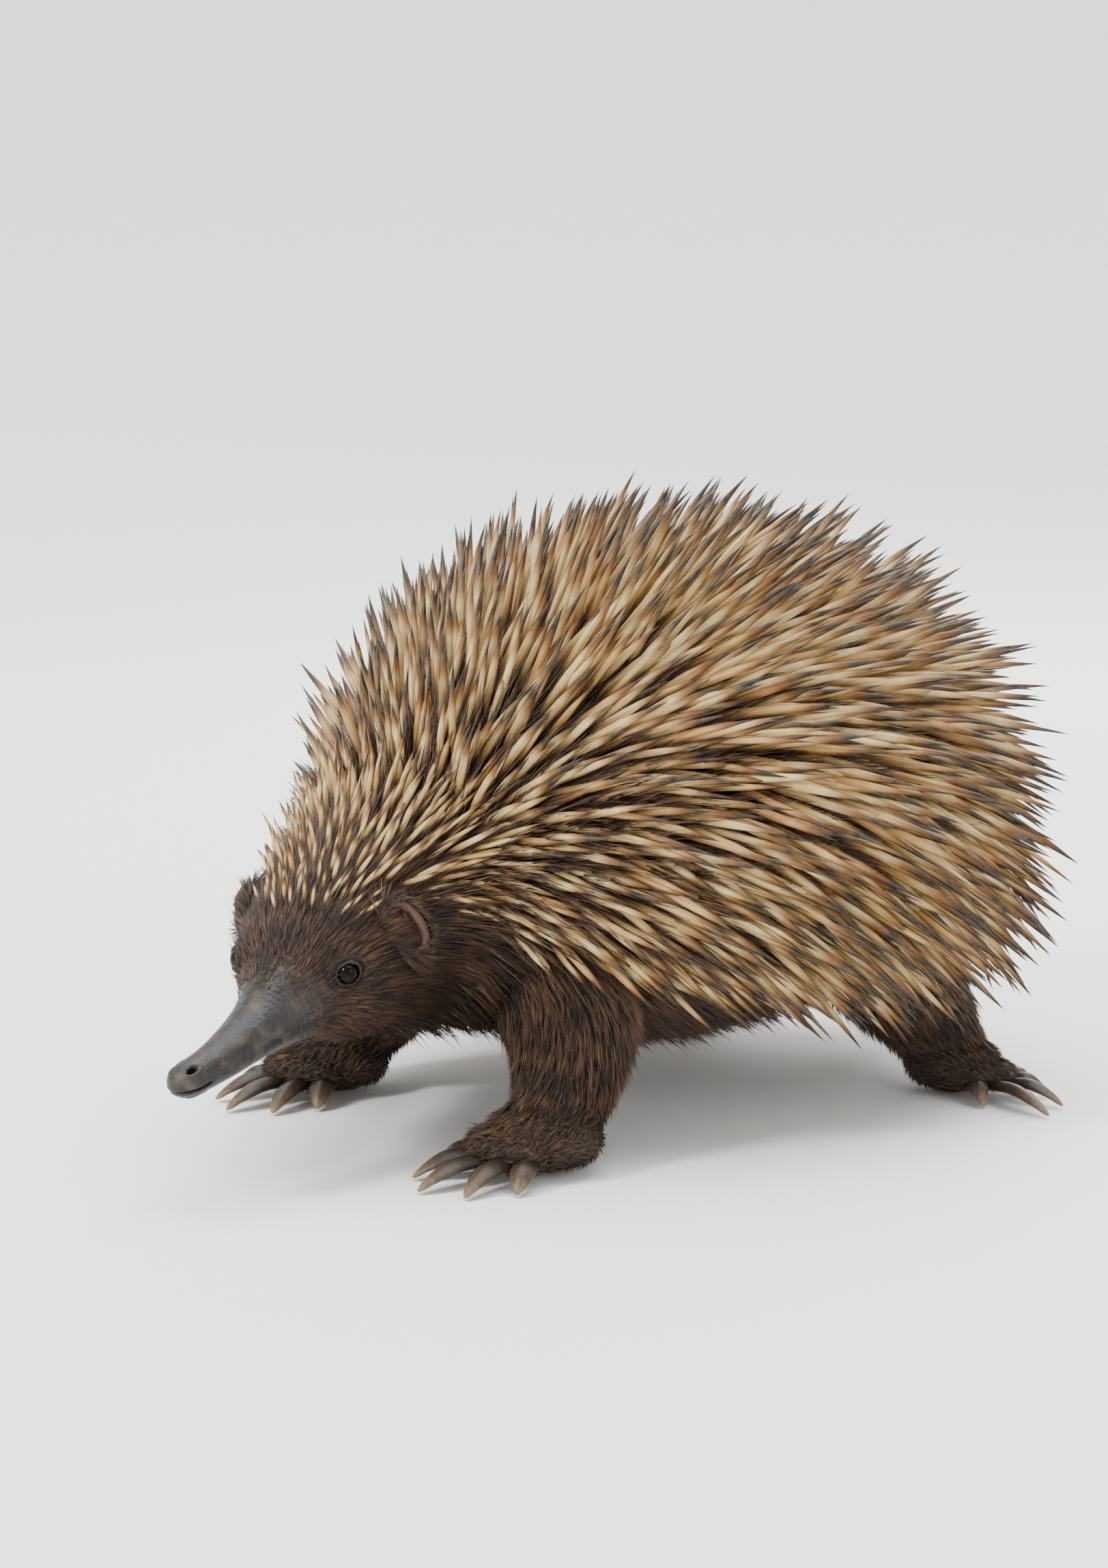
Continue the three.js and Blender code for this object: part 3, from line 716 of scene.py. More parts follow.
# Hair grows everywhere but on the soles, the beak, the eyes and most of the cups of the ears.
sole = soft_step(normals[:, 2], -0.72, -0.92) * soft_step(height, 0.006, 0.003)
bare = np.clip(sole + 1 - soft_step(station, 9.9, 8.8), 0, 1)
furry = (1 - bare) * (1 - 0.93 * in_cup) * near_eyes(*BARE_ROUND_EYES)
on_head = soft_step(station, 6.0, 6.4)
trunk_long = covered * np.interp(station, *BACK_HAIR) + (1 - covered) * np.interp(station, *BELLY_HAIR)
body_long = on_head * np.interp(station, *FACE_HAIR) + (1 - on_head) * trunk_long
fur_long = of_body * body_long + of_leg * np.interp(height, *LEG_HAIR) + of_tail * TAIL_HAIR
fur_long = fur_long * (1 - in_ear) + EAR_HAIR * in_ear
body_lean = BODY_LEAN - LESS_UNDER_SPINES * covered + on_head * np.interp(station, *FACE_LEAN)
lean = of_body * body_lean + of_leg * LEG_LEAN + of_tail * TAIL_LEAN
lean = lean * (1 - in_ear) + EAR_LEAN * in_ear

on_leg = of_leg > 0.5
on_tail = of_tail > 0.25
on_face = station >= FACE_FROM
ahead_of_middle = points[:, 1] < 0
fields = {
    "flow": flow,
    "spine_way": lying(backward, spine_lean, outward, droop),
    "fur_way": lying(flow, lean),
    "spine_long": spine_long,
    "spine_girth": np.sqrt(spine_long / SPINE_LENGTH),
    "fur_long": fur_long,
    "fur_girth": 0.7 + 0.3 * np.clip(fur_long / 0.012, 0, 1),
    "spines_rump": covered * (station <= BACK_FROM),
    "spines_back": covered * (station > BACK_FROM) * (station <= CROWN_FROM),
    "spines_crown": covered * (station > CROWN_FROM),
    "under_fur_left": covered * ~on_face * (points[:, 0] > 0) * furry,
    "under_fur_right": covered * ~on_face * (points[:, 0] <= 0) * furry,
    "belly_fur": (1 - covered) * ~on_face * ~on_leg * ~on_tail * furry,
    "fore_fur": on_leg * ahead_of_middle * furry,
    "hind_fur": (on_leg | on_tail) * ~ahead_of_middle * furry,
    "face_fur_left": on_face * (angle > 0) * ~on_leg * furry,
    "face_fur_right": on_face * (angle <= 0) * ~on_leg * furry,
}

# Where each hair's patch lies on an unwrap of the hide: the body along its line and round it, then a
# strip for each leg and the tail.
MARGIN = 0.01
BODY_STRIP = 0.62
STRIPS_APART = 0.07
STRIP = 0.068
STRIP_TOP = 0.12
unwrap = np.stack([BODY_STRIP * (0.5 + angle / (2 * math.pi)), MARGIN + 0.97 * t, 0 * t], axis=1)
for i, turned in enumerate(strips):
    mine = np.argmax(weights, axis=0) == i + 1
    across = BODY_STRIP + MARGIN + STRIPS_APART * i + STRIP * (0.02 + 0.9 * (0.5 + turned / (2 * math.pi)))
    upward = MARGIN + 0.9 * np.clip((height + 0.005) / STRIP_TOP, 0, 1)
    unwrap[mine] = np.stack([across, upward, 0 * t], axis=1)[mine]
fields["root_uv"] = unwrap


def store(mesh, fields):
    """Keeps each field on the points of a mesh."""
    for name, values in fields.items():
        vector = values.ndim == 2
        layer = mesh.attributes.new(name, "FLOAT_VECTOR" if vector else "FLOAT", "POINT")
        layer.data.foreach_set("vector" if vector else "value", values.astype(np.float32).ravel())


store(hide.data, {"ear_cup": in_cup})
ground = bpy.data.objects.new("coat ground", hide.data.copy())
bpy.context.scene.collection.objects.link(ground)
store(ground.data, fields)

# How a coat grows: points spread evenly over the hide, a copy of one spine or tuft on each, leaned along
# the lie with a little scatter, then bent towards its tip. Each copy keeps a small patch of the hide's
# unwrap for its colours.
PATCH = 0.003
WAVE_LENGTH = 1 / 95  # about 10.5 mm
CROWDED = 2.5  # roots tried on a square as wide as they stand apart
INPUTS = {
    "Geometry": ["Ground"], "Object": ["Template"], "Int": ["Seed"], "Material": ["Finish"],
    "String": ["Where", "Way", "Long", "Girth"],
    "Float": ["Apart", "Thick", "Scatter", "Wave", "Bend", "Sag"],
}

# What is drawn at random for each hair, with its least and most.
DRAWS = {
    "length": ("FLOAT", 0.78, 1.16), "tint": ("FLOAT", 0.0, 1.0),
    "loose": ("FLOAT_VECTOR", (-1, -1, -1), (1, 1, 1)),
    "roll": ("FLOAT", 0.0, 6.28), "girth": ("FLOAT", 0.8, 1.2),
}


def coat_tree():
    """The node tree that covers a ground with copies of a template."""
    tree = bpy.data.node_groups.new("grow a coat", "GeometryNodeTree")
    for kind, names in INPUTS.items():
        for name in names:
            tree.interface.new_socket(name, in_out="INPUT", socket_type=f"NodeSocket{kind}")
    tree.interface.new_socket("Coat", in_out="OUTPUT", socket_type="NodeSocketGeometry")
    given = add(tree, "NodeGroupInput").outputs
    read = {}
    for kind, names in {
        "FLOAT": {"where": given["Where"], "long": given["Long"], "girth": given["Girth"], "along": "along"},
        "FLOAT_VECTOR": {"way": given["Way"], "flow": "flow", "bend": "bend", "patch": "OFBake",
                         "root": "root_uv"},
    }.items():
        for key, name in names.items():
            read[key] = add(tree, "GeometryNodeInputNamedAttribute", {"Name": name}, data_type=kind)
    drawn = {}
    for number, (name, (kind, least, most)) in enumerate(DRAWS.items(), 1):
        seed = add(tree, "ShaderNodeMath", {0: given["Seed"], 1: number}, operation="ADD")
        inputs = {"Min": least, "Max": most, "Seed": seed}
        drawn[name] = add(tree, "FunctionNodeRandomValue", inputs, data_type=kind)

    # The roots, no two closer than a distance.
    square = add(tree, "ShaderNodeMath", {0: given["Apart"], 1: given["Apart"]}, operation="MULTIPLY")
    crowd = add(tree, "ShaderNodeMath", {0: CROWDED, 1: square}, operation="DIVIDE")
    roots = add(tree, "GeometryNodeDistributePointsOnFaces", {
        "Mesh": given["Ground"], "Distance Min": given["Apart"], "Density Max": crowd,
        "Density Factor": read["where"], "Seed": given["Seed"],
    }, distribute_method="POISSON")

    # How far the tip bends over along the lie, and sags.
    length = add(tree, "ShaderNodeMath", {0: read["long"], 1: drawn["length"]}, operation="MULTIPLY")
    bend = add(tree, "ShaderNodeVectorMath", {0: read["flow"], "Scale": given["Bend"]}, operation="SCALE")
    under = add(tree, "ShaderNodeMath", {0: given["Sag"], 1: -1.0}, operation="MULTIPLY")
    sag = add(tree, "ShaderNodeCombineXYZ", {"Z": under})
    bend = add(tree, "ShaderNodeVectorMath", {0: bend, 1: sag}, operation="ADD")
    bend = add(tree, "ShaderNodeVectorMath", {0: bend, "Scale": length}, operation="SCALE")
    roots = add(tree, "GeometryNodeStoreNamedAttribute", {
        "Geometry": roots, "Name": "bend", "Value": bend,
    }, data_type="FLOAT_VECTOR")
    roots = add(tree, "GeometryNodeStoreNamedAttribute", {
        "Geometry": roots, "Name": "tint", "Value": drawn["tint"],
    })

    # Which way it stands: along the lie, off it by chance, and waving with its neighbours.
    place = add(tree, "GeometryNodeInputPosition")
    noise = add(tree, "ShaderNodeTexNoise", {"Vector": place, "Scale": 1 / WAVE_LENGTH, "Detail": 2.0})
    wave = add(tree, "ShaderNodeVectorMath", {
        0: noise.outputs["Color"], 1: (-0.5, -0.5, -0.5),
    }, operation="ADD")
    loose = add(tree, "ShaderNodeVectorMath", {
        0: drawn["loose"], "Scale": given["Scatter"],
    }, operation="SCALE")
    way = add(tree, "ShaderNodeVectorMath", {0: read["way"], 1: loose}, operation="ADD")
    wave = add(tree, "ShaderNodeVectorMath", {0: wave, "Scale": given["Wave"]}, operation="SCALE")
    way = add(tree, "ShaderNodeVectorMath", {0: way, 1: wave}, operation="ADD")
    turned = add(tree, "FunctionNodeAlignRotationToVector", {"Vector": way}, axis="Z")
    roll = add(tree, "FunctionNodeAxisAngleToRotation", {"Axis": (0, 0, 1), "Angle": drawn["roll"]})
    turned = add(tree, "FunctionNodeRotateRotation", {
        "Rotation": turned, "Rotate By": roll,
    }, rotation_space="LOCAL")

    # The copies, made real, then bent more and more towards the tip.
    girth = add(tree, "ShaderNodeMath", {0: read["girth"], 1: drawn["girth"]}, operation="MULTIPLY")
    thick = add(tree, "ShaderNodeMath", {0: given["Thick"], 1: girth}, operation="MULTIPLY")
    template = add(tree, "GeometryNodeObjectInfo", {"Object": given["Template"]}).outputs["Geometry"]
    copies = add(tree, "GeometryNodeInstanceOnPoints", {
        "Points": roots, "Instance": template, "Rotation": turned,
        "Scale": add(tree, "ShaderNodeCombineXYZ", {"X": thick, "Y": thick, "Z": length}),
    })
    grown = add(tree, "GeometryNodeRealizeInstances", {"Geometry": copies})
    square = add(tree, "ShaderNodeMath", {0: read["along"], 1: read["along"]}, operation="MULTIPLY")
    bend = add(tree, "ShaderNodeVectorMath", {0: read["bend"], "Scale": square}, operation="SCALE")
    grown = add(tree, "GeometryNodeSetPosition", {"Geometry": grown, "Offset": bend})
    patch = add(tree, "ShaderNodeVectorMath", {0: read["patch"], "Scale": PATCH}, operation="SCALE")
    patch = add(tree, "ShaderNodeVectorMath", {0: patch, 1: read["root"]}, operation="ADD")
    grown = add(tree, "GeometryNodeStoreNamedAttribute", {
        "Geometry": grown, "Name": "OFBake", "Value": patch,
    }, data_type="FLOAT2", domain="CORNER")
    grown = add(tree, "GeometryNodeSetShadeSmooth", {"Geometry": grown})
    grown = add(tree, "GeometryNodeSetMaterial", {"Geometry": grown, "Material": given["Finish"]})
    add(tree, "NodeGroupOutput", {"Coat": grown})
    return tree


coat = coat_tree()
SEEDS = iter(range(11, 99, 4))
FLOOR_CLEAR = 0.3 * MM


def grow(name, template, kind, finish, **sizes):
    """Grows one piece of the coat on the hide, where the field of its name says, as a plain mesh."""
    made = bpy.data.objects.new(name, ground.data)
    bpy.context.scene.collection.objects.link(made)
    modifier = made.modifiers.new("coat", "NODES")
    modifier.node_group = coat
    values = {"Template": template, "Where": name, "Finish": finish, "Seed": next(SEEDS), **sizes}
    values.update({"Way": f"{kind}_way", "Long": f"{kind}_long", "Girth": f"{kind}_girth"})
    for item in coat.interface.items_tree:
        if item.in_out == "INPUT" and item.name in values:
            modifier[item.identifier] = values[item.name]
    finished(made)
    for layer in list(made.data.attributes):
        if layer.name in fields or layer.name == "bend":
            made.data.attributes.remove(layer)
    flat = np.empty(len(made.data.vertices) * 3, np.float32)
    made.data.vertices.foreach_get("co", flat)
    flat[2::3] = np.maximum(flat[2::3], FLOOR_CLEAR)
    made.data.vertices.foreach_set("co", flat)
    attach(made, "root")
    return made


def hair_template(name, hairs, sides):
    """A template of unit length with its root at the origin: closed hairs, each a row of rings given as
    height, thickness and offset, with a point at either end."""
    points, faces, along, patches = [], [], [], []
    for number, (rings, tip) in enumerate(hairs):
        first = len(points)
        low = rings[0][0] - 0.1
        points.append((rings[0][2], 0, low))
        along.append(0)
        for height, thick, offset in rings:
            for turn in full_turn(sides):
                points.append((offset + thick * math.cos(turn), thick * math.sin(turn), height))
                along.append(max(0, height))
        points.append((tip[1], 0, tip[0]))
        along.append(tip[0])
        top = len(points) - 1
        column, columns = number / len(hairs), 1 / (len(hairs) * sides)

        def corner(j, height):
            return (column + j * columns, max(0, height))

        for j in range(sides):
            k = (j + 1) % sides
            faces.append((first, first + 1 + k, first + 1 + j))
            patches += [corner(j + 0.5, low), corner(j + 1, rings[0][0]), corner(j, rings[0][0])]
            for i in range(len(rings) - 1):
                a, b = first + 1 + i * sides, first + 1 + (i + 1) * sides
                faces.append((a + j, a + k, b + k, b + j))
                lower, upper = rings[i][0], rings[i + 1][0]
                patches += [corner(j, lower), corner(j + 1, lower), corner(j + 1, upper), corner(j, upper)]
            last = first + 1 + (len(rings) - 1) * sides
            faces.append((last + j, last + k, top))
            patches += [corner(j, rings[-1][0]), corner(j + 1, rings[-1][0]), corner(j + 0.5, tip[0])]
    template = mesh_object(name, points, faces)
    layer = template.data.uv_layers.new(name="OFBake")
    layer.data.foreach_set("uv", np.array(patches, np.float32).ravel())
    store(template.data, {"along": np.array(along, float)})
    return template


# The spines: hollow keratin quills, thickest below the middle and drawn out to a sharp tip, rooted in the
# hide. They are the colour of pale horn, and most are dark at the tip.
QUILL = [(-0.1, 0.55, 0), (0.06, 0.72, 0), (0.3, 1.0, 0), (0.58, 0.92, 0), (0.78, 0.6, 0), (0.91, 0.26, 0)]
spine_template = hair_template("spine template", [(QUILL, (1.0, 0))], 6)

# Keratin grown as quills: satin, banded from horn to a dark tip, greyed by wear, with fine grooves along
# it that catch the light. The patch of the unwrap is one quill round and one quill long.
TIP_VARIES = 0.23
WORN_PATCH = 4 * MM
GROOVES_ROUND = 14
GROOVES_LONG = 1.6
keratin, tree = new_material("pale keratin quill")
along = add(tree, "ShaderNodeAttribute", attribute_name="along").outputs["Fac"]
tint = add(tree, "ShaderNodeAttribute", attribute_name="tint").outputs["Fac"]
where = add(tree, "ShaderNodeTexCoord").outputs["Object"]
# The dark of the tip starts lower on some quills than on others.
late = add(tree, "ShaderNodeMath", {0: tint, 1: TIP_VARIES}, operation="MULTIPLY")
place = add(tree, "ShaderNodeMath", {0: along, 1: late}, operation="SUBTRACT")
banded = add(tree, "ShaderNodeValToRGB", {"Fac": place}, [
    (0.0, 0x5A4128), (0.08, 0x9C7D4C), (0.25, 0xD8BE86), (0.5, 0xE3CE9A), (0.62, 0x8A6335), (0.73, 0x150D08),
])
worn = add(tree, "ShaderNodeTexNoise", {"Vector": where, "Scale": 1 / WORN_PATCH, "Detail": 3.0})
grey = add(tree, "ShaderNodeMapRange", {"Value": worn, "From Min": 0.3, "From Max": 0.75, "To Max": 0.32})
colour = add(tree, "ShaderNodeMix", {"Factor": grey, "A": banded, "B": linear(0x8F7B58)}, data_type="RGBA")
# No two quills are quite the same tone: from ivory to a browner horn.
tone = add(tree, "ShaderNodeTexWhiteNoise", {"W": tint}, noise_dimensions="1D")
browner = add(tree, "ShaderNodeValToRGB", {"Fac": tone}, [(0.0, 0xFFFFFF), (0.55, 0xF6EBDA), (1.0, 0xC9A57C)])
colour = add(tree, "ShaderNodeMix", {
    "Factor": 1.0, "A": colour, "B": browner,
}, data_type="RGBA", blend_type="MULTIPLY")
on_quill = add(tree, "ShaderNodeUVMap", uv_map="OFBake")
stretched = add(tree, "ShaderNodeMapping", {
    "Vector": on_quill, "Scale": (GROOVES_ROUND / PATCH, GROOVES_LONG / PATCH, 1),
})
grooves = add(tree, "ShaderNodeTexNoise", {"Vector": stretched, "Scale": 1.0, "Detail": 2.0})
grooved = add(tree, "ShaderNodeBump", {"Height": grooves, "Strength": 0.35, "Distance": 0.25 * MM})
streaks = add(tree, "ShaderNodeValToRGB", {"Fac": grooves}, [(0.32, 0xB8A58A), (0.55, 0xFFFFFF)])
colour = add(tree, "ShaderNodeMix", {
    "Factor": 0.8, "A": colour, "B": streaks,
}, data_type="RGBA", blend_type="MULTIPLY")
shader = add(tree, "ShaderNodeBsdfPrincipled", {
    "Base Color": colour, "Roughness": 0.4, "IOR": 1.54, "Specular IOR Level": 0.36, "Normal": grooved,
})
add(tree, "ShaderNodeOutputMaterial", {"Surface": shader})

# Each piece of the spiny coat: how far apart its spines grow and half their thickness, in mm.
SPINES = {"spines_rump": (4.3, 1.75), "spines_back": (4.3, 1.75), "spines_crown": (3.5, 1.4)}
for name, (apart, thick) in SPINES.items():
    piece = grow(name, spine_template, "spine", keratin,
                 Apart=apart * MM, Thick=thick * MM, Scatter=0.21, Wave=0.0, Bend=0.13, Sag=0.05)

# The fur: dark brown bristly hair, soft and long between the spines and on the belly, short on the face
# and legs. It grows in small tufts that taper and lie over one another. The hairs are drawn coarser and
# fewer than real ones, so that they show.
TUFT = [
    ([(-0.06, 0.8, 0), (0.42, 1.0, 0.2)], (1.0, 0.4)),
    ([(0.2, 0.75, 2.0)], (0.86, 3.4)),
    ([(0.2, 0.75, -1.9)], (0.8, -3.6)),
]
tuft_template = hair_template("tuft template", TUFT, 3)

# Coarse animal hair: dull, darkest at the root, lighter towards weathered ends, and uneven in patches.
WEATHERED_PATCH = 14 * MM
bristle, tree = new_material("dark brown fur")
along = add(tree, "ShaderNodeAttribute", attribute_name="along").outputs["Fac"]
tint = add(tree, "ShaderNodeAttribute", attribute_name="tint").outputs["Fac"]
where = add(tree, "ShaderNodeTexCoord").outputs["Object"]
weathered = add(tree, "ShaderNodeTexNoise", {"Vector": where, "Scale": 1 / WEATHERED_PATCH, "Detail": 3.0})
uneven = add(tree, "ShaderNodeMapRange", {
    "Value": weathered, "From Min": 0.3, "From Max": 0.7, "To Min": -0.16, "To Max": 0.22,
})
lighter = add(tree, "ShaderNodeMath", {0: tint, 1: 0.4, 2: uneven}, operation="MULTIPLY_ADD")
shade = add(tree, "ShaderNodeMath", {0: along, 1: 0.55, 2: lighter}, operation="MULTIPLY_ADD")
colour = add(tree, "ShaderNodeValToRGB", {"Fac": shade}, [
    (0.0, 0x1A110B), (0.45, 0x38251A), (0.8, 0x5E422C), (1.0, 0x80603F),
])
shader = add(tree, "ShaderNodeBsdfPrincipled", {"Base Color": colour, "Roughness": 0.5, "IOR": 1.5})
add(tree, "ShaderNodeOutputMaterial", {"Surface": shader})

# Each piece of the fur: how far apart its tufts grow and half a hair's thickness, in mm, then how far the
# hairs stray from the lie by chance and together.
UNDER_FUR = (2.4, 0.34, 0.25, 0.3)
LEG_FUR = (1.3, 0.25, 0.18, 0.3)
FACE_FUR = (0.9, 0.18, 0.15, 0.25)
FURS = {
    "under_fur_left": UNDER_FUR, "under_fur_right": UNDER_FUR, "belly_fur": (1.9, 0.3, 0.22, 0.35),
    "fore_fur": LEG_FUR, "hind_fur": LEG_FUR, "face_fur_left": FACE_FUR, "face_fur_right": FACE_FUR,
}
for name, (apart, thick, scatter, wave) in FURS.items():
    apart = apart * 1
    piece = grow(name, tuft_template, "fur", bristle,
                 Apart=apart * MM, Thick=thick * MM, Scatter=scatter, Wave=wave, Bend=0.22, Sag=0.06)

for scrap in (ground, spine_template, tuft_template):
    bpy.data.objects.remove(scrap)

# The beak: bare, dark grey, leathery skin over bone, faintly ringed where it leaves the face, moist at
# the tip, with two nostrils on top and a short mouth that opens only at its end.
BEAK_STARTS = 8.3
BEAK_OUT = 9.05
BEAK_UNDER_FUR = 2.2 * MM
NOSTRIL_STATION = 11.72
NOSTRIL_ANGLE = math.radians(38)
MOUTH_LENGTH = 13 * MM
MOUTH_UNDER_TIP = 1.8 * MM
LIP_APART = 1.0 * MM

# Half-sizes, depths and heights of what is raised or sunk in its skin, in mm.
NOSTRIL = (2.1, 1.1)
NOSTRIL_DEPTH = 1.9
NOSTRIL_RIM = 0.3
MOUTH_DEPTH = 1.5
LIP_HEIGHT = 0.22
RING_HEIGHT = 0.09
RING_WAVES = 46  # radians of the rings' wave to a station


def beak_rise(t):
    """The bare skin comes out from under the furred hide a little ahead of the eyes."""
    return -BEAK_UNDER_FUR * (1 - soft_step(t * LAST, BEAK_STARTS, BEAK_OUT))


# Its rings lie closer together at the nostrils and at the rounded tip, and its sides at the mouth.
beak_rings = [
    np.linspace(BEAK_STARTS, 11, 84)[:-1], np.linspace(11, 11.7, 60)[:-1],
    11.7 + 0.3 * np.sin(np.linspace(0, math.pi / 2, 45)[:-1]),
]
half_round = np.radians(np.concatenate([
    np.linspace(0, 94, 26)[:-1], np.linspace(94, 120, 34)[:-1], np.linspace(120, 180, 22),
]))
beak_turns = np.concatenate([half_round, 2 * math.pi - half_round[-2:0:-1]])
beak_points, beak_faces = body.shell(np.concatenate(beak_rings) / LAST, beak_turns, beak_rise)
share, turned, _ = locate(body, beak_points, 600)
beak_station = share * LAST
beak_out = unit(beak_points - body.read(share)[:, :3])

# How far its skin is raised, in mm: nostrils with a rim, the mouth between two lips, and the rings.
raised = np.zeros(len(beak_points))
for side in SIDES.values():
    at, forward, up, out = spot(body, NOSTRIL_STATION / LAST, side * NOSTRIL_ANGLE)
    away = beak_points - at
    across = np.sqrt(((away @ forward) / NOSTRIL[0]) ** 2 + ((away @ up) / NOSTRIL[1]) ** 2) / MM
    raised -= NOSTRIL_DEPTH * swell(across, 0, 1, 3) - NOSTRIL_RIM * swell(across, 1.5, 0.4)
tip = body.read(np.array([1.0]))[0, :3]
ahead, _, beak_up = (axis[0] for axis in body.axes(np.array([0.995])))
behind = (tip - beak_points) @ ahead
below = (beak_points - tip) @ beak_up + MOUTH_UNDER_TIP
in_mouth = soft_step(behind, MOUTH_LENGTH, MOUTH_LENGTH - 3 * MM)
raised -= MOUTH_DEPTH * swell(below, 0, 0.36 * MM) * in_mouth
raised += LIP_HEIGHT * swell(np.abs(below), LIP_APART, 0.45 * MM) * in_mouth
rings = np.sin(beak_station * RING_WAVES + 1.2 * np.sin(3 * turned)) * soft_step(beak_station, 10.6, 9.2)
raised += RING_HEIGHT * rings * soft_step(np.abs(turned), 2.6, 1.4)
beak = mesh_object("beak_skin", beak_points + beak_out * (raised * MM)[:, None], beak_faces)
beak.data.shade_smooth()
# How deep the skin is sunk is kept for the painted shade in its hollows.
store(beak.data, {"bare": soft_step(beak_station, 8.6, 9.9), "painted_hollow_shade": np.clip(-raised / 1.2, 0, 1)})

# Bare leathery skin: dark grey in uneven patches, some duller and some moist, with creases and a grain of
# cells that is drawn coarser than the real one, so that it shows. A little dry soil from digging stays on
# it. The nostrils, the mouth and the troughs of the rings are painted darker the deeper they are sunk, to
# nearly black, and shine less: painted shade in the hollows.
GREY_PATCH = 9 * MM
CREASE = 2.4 * MM
CELL = 0.9 * MM
SOIL_SMEAR = 5 * MM
leather, tree = new_material("bare leathery beak skin")
where = add(tree, "ShaderNodeTexCoord").outputs["Object"]
patchy = add(tree, "ShaderNodeTexNoise", {"Vector": where, "Scale": 1 / GREY_PATCH, "Detail": 5.0})
creased = add(tree, "ShaderNodeTexNoise", {"Vector": where, "Scale": 1 / CREASE, "Detail": 5.0})
folds = add(tree, "ShaderNodeBump", {"Height": creased, "Strength": 0.5, "Distance": 0.5 * MM})
cells = add(tree, "ShaderNodeTexVoronoi", {"Vector": where, "Scale": 1 / CELL})
fine = add(tree, "ShaderNodeBump", {"Height": cells, "Strength": 0.5, "Distance": 0.22 * MM, "Normal": folds})
grey = add(tree, "ShaderNodeValToRGB", {"Fac": patchy}, [(0.3, 0x131111), (0.55, 0x211E1D), (0.75, 0x322D2B)])
smears = add(tree, "ShaderNodeTexNoise", {"Vector": where, "Scale": 1 / SOIL_SMEAR, "Detail": 7.0})
dusty = add(tree, "ShaderNodeMapRange", {"Value": smears, "From Min": 0.5, "From Max": 0.72, "To Max": 0.3})
grey = add(tree, "ShaderNodeMix", {"Factor": dusty, "A": grey, "B": linear(0x6B5C4E)}, data_type="RGBA")
bare = add(tree, "ShaderNodeAttribute", attribute_name="bare").outputs["Fac"]
colour = add(tree, "ShaderNodeMix", {"Factor": bare, "A": linear(0x2A1E17), "B": grey}, data_type="RGBA")
# Painted shade: the deeper the skin is sunk, in the nostrils, the mouth and the ring troughs, the nearer
# black it is and the less it shines.
deep = add(tree, "ShaderNodeAttribute", attribute_name="painted_hollow_shade").outputs["Fac"]
colour = add(tree, "ShaderNodeMix", {"Factor": deep, "A": colour, "B": linear(0x0B0909)}, data_type="RGBA")
gloss = add(tree, "ShaderNodeMapRange", {"Value": patchy, "To Min": 0.3, "To Max": 0.6})
sheen = add(tree, "ShaderNodeMapRange", {"Value": deep, "To Min": 0.42, "To Max": 0.03})
shader = add(tree, "ShaderNodeBsdfPrincipled", {
    "Base Color": colour, "Roughness": gloss, "IOR": 1.45, "Specular IOR Level": sheen, "Normal": fine,
})
add(tree, "ShaderNodeOutputMaterial", {"Surface": shader})
beak.data.materials.append(leather)
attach(beak, "root")
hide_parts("beak")

# The eyes: small, round and nearly black, with a dark brown iris and a wet, slightly bulging front. Each
# ball sits in its socket behind the lids.
BEHIND_LIDS = 0.9 * MM
BULGE = 0.05

# Wet cornea over a dark iris: the only mirror-like finish on the animal, which gives the eyes a small
# bright highlight.
eyeball, tree = new_material("wet dark eye")
gaze = add(tree, "ShaderNodeAttribute", attribute_name="gaze").outputs["Fac"]
colour = add(tree, "ShaderNodeValToRGB", {"Fac": gaze}, [
    (0.0, 0x010101), (0.4, 0x020202), (0.47, 0x1C0F08), (0.66, 0x120A06), (0.74, 0x030202),
])
shader = add(tree, "ShaderNodeBsdfPrincipled", {
    "Base Color": colour, "Roughness": 0.04, "IOR": 1.376, "Specular IOR Level": 0.18,
})
add(tree, "ShaderNodeOutputMaterial", {"Surface": shader})


def make_eye(name, side):
    """The ball of one eye."""
    _, forward, up, out = eye_spot(side)
    centre = eye_centre(side) - BEHIND_LIDS * out
    eye_points, faces = ball(centre, (out, forward, up), np.full(3, EYE_RADIUS), 28, 40)
    aim = unit(eye_points - centre) @ out
    bulging = 1 + BULGE * soft_step(aim, 0.72, 0.95)
    eye = mesh_object(f"eyeball_{name}", centre + (eye_points - centre) * bulging[:, None], faces)
    store(eye.data, {"gaze": np.sqrt(np.maximum(0, 1 - aim**2)) + (aim < 0)})
    eye.data.shade_smooth()
    eye.data.materials.append(eyeball)
    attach(eye, "root")
    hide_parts(f"eye_{name}")


# The lids: a soft fold of bare skin round each eye, rolled in at its margin against the ball. The profile
# is distance from the middle of the eye and height over the skin, in mm.
LID_WIDE = 1.12
LID_HIGH = 0.9
LID_SIDES = 48
LID_PROFILE = [
    (3.3, -0.8), (3.4, 0.5), (3.6, 1.05), (3.9, 1.2), (4.2, 1.0), (4.5, 0.5), (4.8, -0.1), (5.1, -0.9),
    (5.2, -1.8), (4.8, -2.4), (4.0, -2.1),
]

# Bare skin, thin and creased: darker than the fur round it and a little moist.
LID_CREASE = 1.1 * MM
lid_skin, tree = new_material("bare lid skin")
where = add(tree, "ShaderNodeTexCoord").outputs["Object"]
creases = add(tree, "ShaderNodeTexNoise", {"Vector": where, "Scale": 1 / LID_CREASE, "Detail": 4.0})
fine = add(tree, "ShaderNodeBump", {"Height": creases, "Strength": 0.6, "Distance": 0.25 * MM})
colour = add(tree, "ShaderNodeValToRGB", {"Fac": creases}, [(0.35, 0x120D0A), (0.7, 0x241A14)])
shader = add(tree, "ShaderNodeBsdfPrincipled", {
    "Base Color": colour, "Roughness": 0.55, "IOR": 1.42, "Specular IOR Level": 0.35, "Normal": fine,
})
add(tree, "ShaderNodeOutputMaterial", {"Surface": shader})


